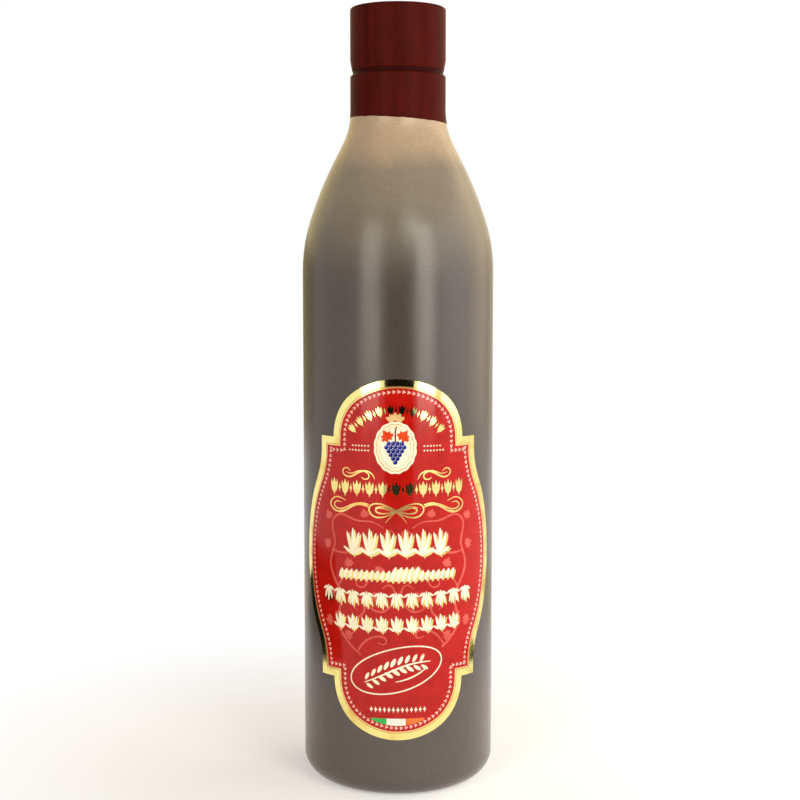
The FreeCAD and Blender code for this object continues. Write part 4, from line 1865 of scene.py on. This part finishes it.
@dataclass(frozen=True)
class Card:
    """A glowing or dark card that only reflections see; it hangs upright or lies on the floor."""

    name: str
    place: tuple[float, float, float]
    width: float
    height: float
    turn: float = 0.0
    upright: bool = True
    tone: Colour = (0.005, 0.005, 0.005)

    def add(self) -> None:
        """Put the card up."""
        Bench.clear()
        bpy.ops.mesh.primitive_plane_add(size=1, location=self.place)
        card = bpy.context.object
        card.name = self.name
        pitch = math.pi / 2 if self.upright else 0.0
        card.rotation_euler = (pitch, 0, math.radians(self.turn))
        card.scale = (self.width, self.height, 1)
        paint = Paint(self.name)
        glow = paint.node("ShaderNodeEmission", values={"Color": self.tone})
        material = paint.surface(glow)
        material.cycles.emission_sampling = "NONE"
        Bench.paint(card, material)
        for name in ("camera", "diffuse", "transmission", "volume_scatter", "shadow"):
            setattr(card, f"visible_{name}", False)
        card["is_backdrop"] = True


@dataclass
class Studio:
    """Pale floor, white surround, soft lamps, cards for reflections, and the camera."""

    ambient: float = 0.12
    ambient_tint: Colour = (1.0, 0.985, 0.96)
    floor_radius: float = 2.2
    floor_glow: float = 0.36
    floor_fade: tuple[float, float] = (0.05, 0.19)
    camera_place: tuple[float, float, float] = (0.00064, -0.47935, 0.168)
    camera_tilt: float = 4.9
    camera_shift: float = -0.02
    lens: float = 67.05
    softboxes: tuple[Softbox, ...] = (
        Softbox("left_strip", -32, 14, 0.85, 0.34, 0.62, 3.8, (1.06, 0.98, 0.84)),
        Softbox("right_strip", 33, 14, 0.85, 0.32, 0.62, 5.7, (1.03, 0.99, 0.88)),
        Softbox("right_panel", 71, 14, 0.85, 0.6, 0.62, 1.55),
        Softbox("rear_right", 112, 14, 0.85, 0.6, 0.62, 1.35, (1.3, 1.02, 0.66)),
        Softbox("rear_left", -142, 14, 0.85, 0.75, 0.66, 0.3, (1.2, 1.0, 0.5)),
        Softbox("rim_right", 150, 14, 0.85, 0.46, 0.66, 0.4, (1.1, 1.0, 0.6)),
        Softbox("low_right", 112, 8, 0.28, 0.3, 0.1, 6.6, (1.0, 0.97, 0.92), 0.02, False),
        Softbox("low_left", -100, 8, 0.28, 0.3, 0.1, 1.5, (1.3, 0.95, 0.6), 0.02, False),
        Softbox("front_top", 16, 32, 0.9, 0.24, 0.24, 4.2, (1.04, 1.0, 0.86)),
    )
    cards: tuple[Card, ...] = (
        Card("card_camera", (0.018, -0.52, 0.105), 0.315, 0.21),
        Card("card_floor_left", (-0.2825, 0.055, 0.0015), 0.235, 0.27, upright=False),
        Card("card_floor_right", (0.18, -0.008, 0.0015), 0.028, 0.06, upright=False),
        Card("card_rear_right", (0.19, 0.21, 0.0015), 0.14, 0.14, 0, False, (0.75, 0.66, 0.42)),
        Card("card_rear_left", (-0.15, 0.25, 0.0015), 0.14, 0.12, 0, False, (1.0, 0.93, 0.75)),
        Card("card_low_left", (-0.56, 0.72, 0.125), 0.8, 0.25, 38, tone=(0.08, 0.07, 0.05)),
        Card("card_high_left", (-0.56, 0.72, 0.7), 0.8, 0.9, 38, tone=(1.0, 0.84, 0.5)),
        Card("card_low_right", (0.58, 0.7, 0.125), 0.8, 0.25, -40, tone=(0.55, 0.48, 0.42)),
        Card("card_high_right", (0.58, 0.7, 0.7), 0.8, 0.9, -40, tone=(0.9, 0.8, 0.6)),
    )

    def build(self) -> None:
        """Build the whole studio."""
        scene = bpy.context.scene
        scene.view_settings.view_transform = "Standard"
        self.build_world()
        self.build_floor()
        for card in self.cards:
            card.add()
        for softbox in self.softboxes:
            softbox.add()
        self.build_camera()
        LOG.info("studio: %d lamps, %d cards", len(self.softboxes), len(self.cards))

    def build_world(self) -> None:
        """Light the scene evenly, and show plain white to the camera and in reflections."""
        world = bpy.data.worlds.new("surround")
        bpy.context.scene.world = world
        world.use_nodes = True
        nodes = Nodes(world.node_tree)
        glow = {"Color": self.ambient_tint, "Strength": self.ambient}
        lit = nodes.node("ShaderNodeBackground", values=glow)
        plain = {"Color": (1.0, 1.0, 1.0), "Strength": 1.0}
        white = nodes.node("ShaderNodeBackground", values=plain)
        ends = {0: nodes.shown(), 1: lit, 2: white}
        mixed = nodes.node("ShaderNodeMixShader", values=ends)
        nodes.add("ShaderNodeOutputWorld", values={"Surface": mixed})

    def build_floor(self) -> None:
        """Build the floor: pale, and white to the camera except for the shadow near the bottle."""
        Bench.clear()
        bpy.ops.mesh.primitive_circle_add(
            vertices=96, radius=self.floor_radius, fill_type="NGON", location=(0, 0, 0)
        )
        floor = bpy.context.object
        floor.name = "floor"
        paint = Paint("pale_floor")
        place = paint.place()
        tooth = paint.noise(place, 30.0, 3.0)
        tone = paint.blend(tooth, linear(236, 235, 232), linear(240, 239, 237))
        diffuse = paint.node("ShaderNodeBsdfDiffuse", values={"Color": tone})
        glow = paint.node("ShaderNodeEmission", values={"Strength": self.floor_glow})
        near = paint.node("ShaderNodeAddShader", values={0: diffuse, 1: glow})
        white = paint.node("ShaderNodeEmission", values={"Strength": 1.0})
        away = paint.node("ShaderNodeVectorMath", {"operation": "LENGTH"}, {0: place}, "Value")
        ends = {0: away.step(*self.floor_fade), 1: near, 2: white}
        faded = paint.node("ShaderNodeMixShader", values=ends)
        ends = {0: paint.shown(), 1: diffuse, 2: faded}
        Bench.paint(floor, paint.surface(paint.node("ShaderNodeMixShader", values=ends)))
        floor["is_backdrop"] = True

    def build_camera(self) -> None:
        """Stand the camera in front, a little above the bottle's middle and tilted down."""
        data = bpy.data.cameras.new("camera")
        data.lens = self.lens
        data.sensor_width = 36.0
        data.shift_y = self.camera_shift
        data.clip_start = 0.01
        camera = bpy.data.objects.new("camera", data)
        bpy.context.scene.collection.objects.link(camera)
        camera.location = self.camera_place
        camera.rotation_euler = (math.radians(90 - self.camera_tilt), 0, 0)
        bpy.context.scene.camera = camera


def box_numbers(box: object) -> list[float]:
    """Args:
        box: The box, with its corners or its plain numbers.

    Returns:
        Its numbers, one after the other.
    """
    numbers: list[float] = []
    for part in box:
        numbers += [float(value) for value in part] if hasattr(part, "__len__") else [float(part)]
    return numbers


def main() -> None:
    """Build the object in order inside the studio."""
    logging.basicConfig(level=logging.INFO, format="%(name)s %(message)s", stream=sys.stdout)
    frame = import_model()
    cad_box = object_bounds()
    LOG.info("frame: %s", sorted(frame["nodes"]))

    bottle = Bottle()
    bottle.build()
    for name, finish in (("glaze", DarkGlaze()), ("closure", MouldedPlastic())):
        Bench.paint(frame["nodes"][name], finish.make())
        LOG.info("%s: kept from the frame, with its finish", name)
    Capsule(bottle).build()

    low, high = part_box("label")
    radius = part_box("bottle")[1].x / MM
    Label(radius=radius, centre=(low.z + high.z) / 2 / MM).build()

    Studio().build()
    boxes = {"cad": box_numbers(cad_box), "visual": box_numbers(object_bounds())}
    LOG.info("size: %s", boxes)


if __name__ == "__main__":
    main()
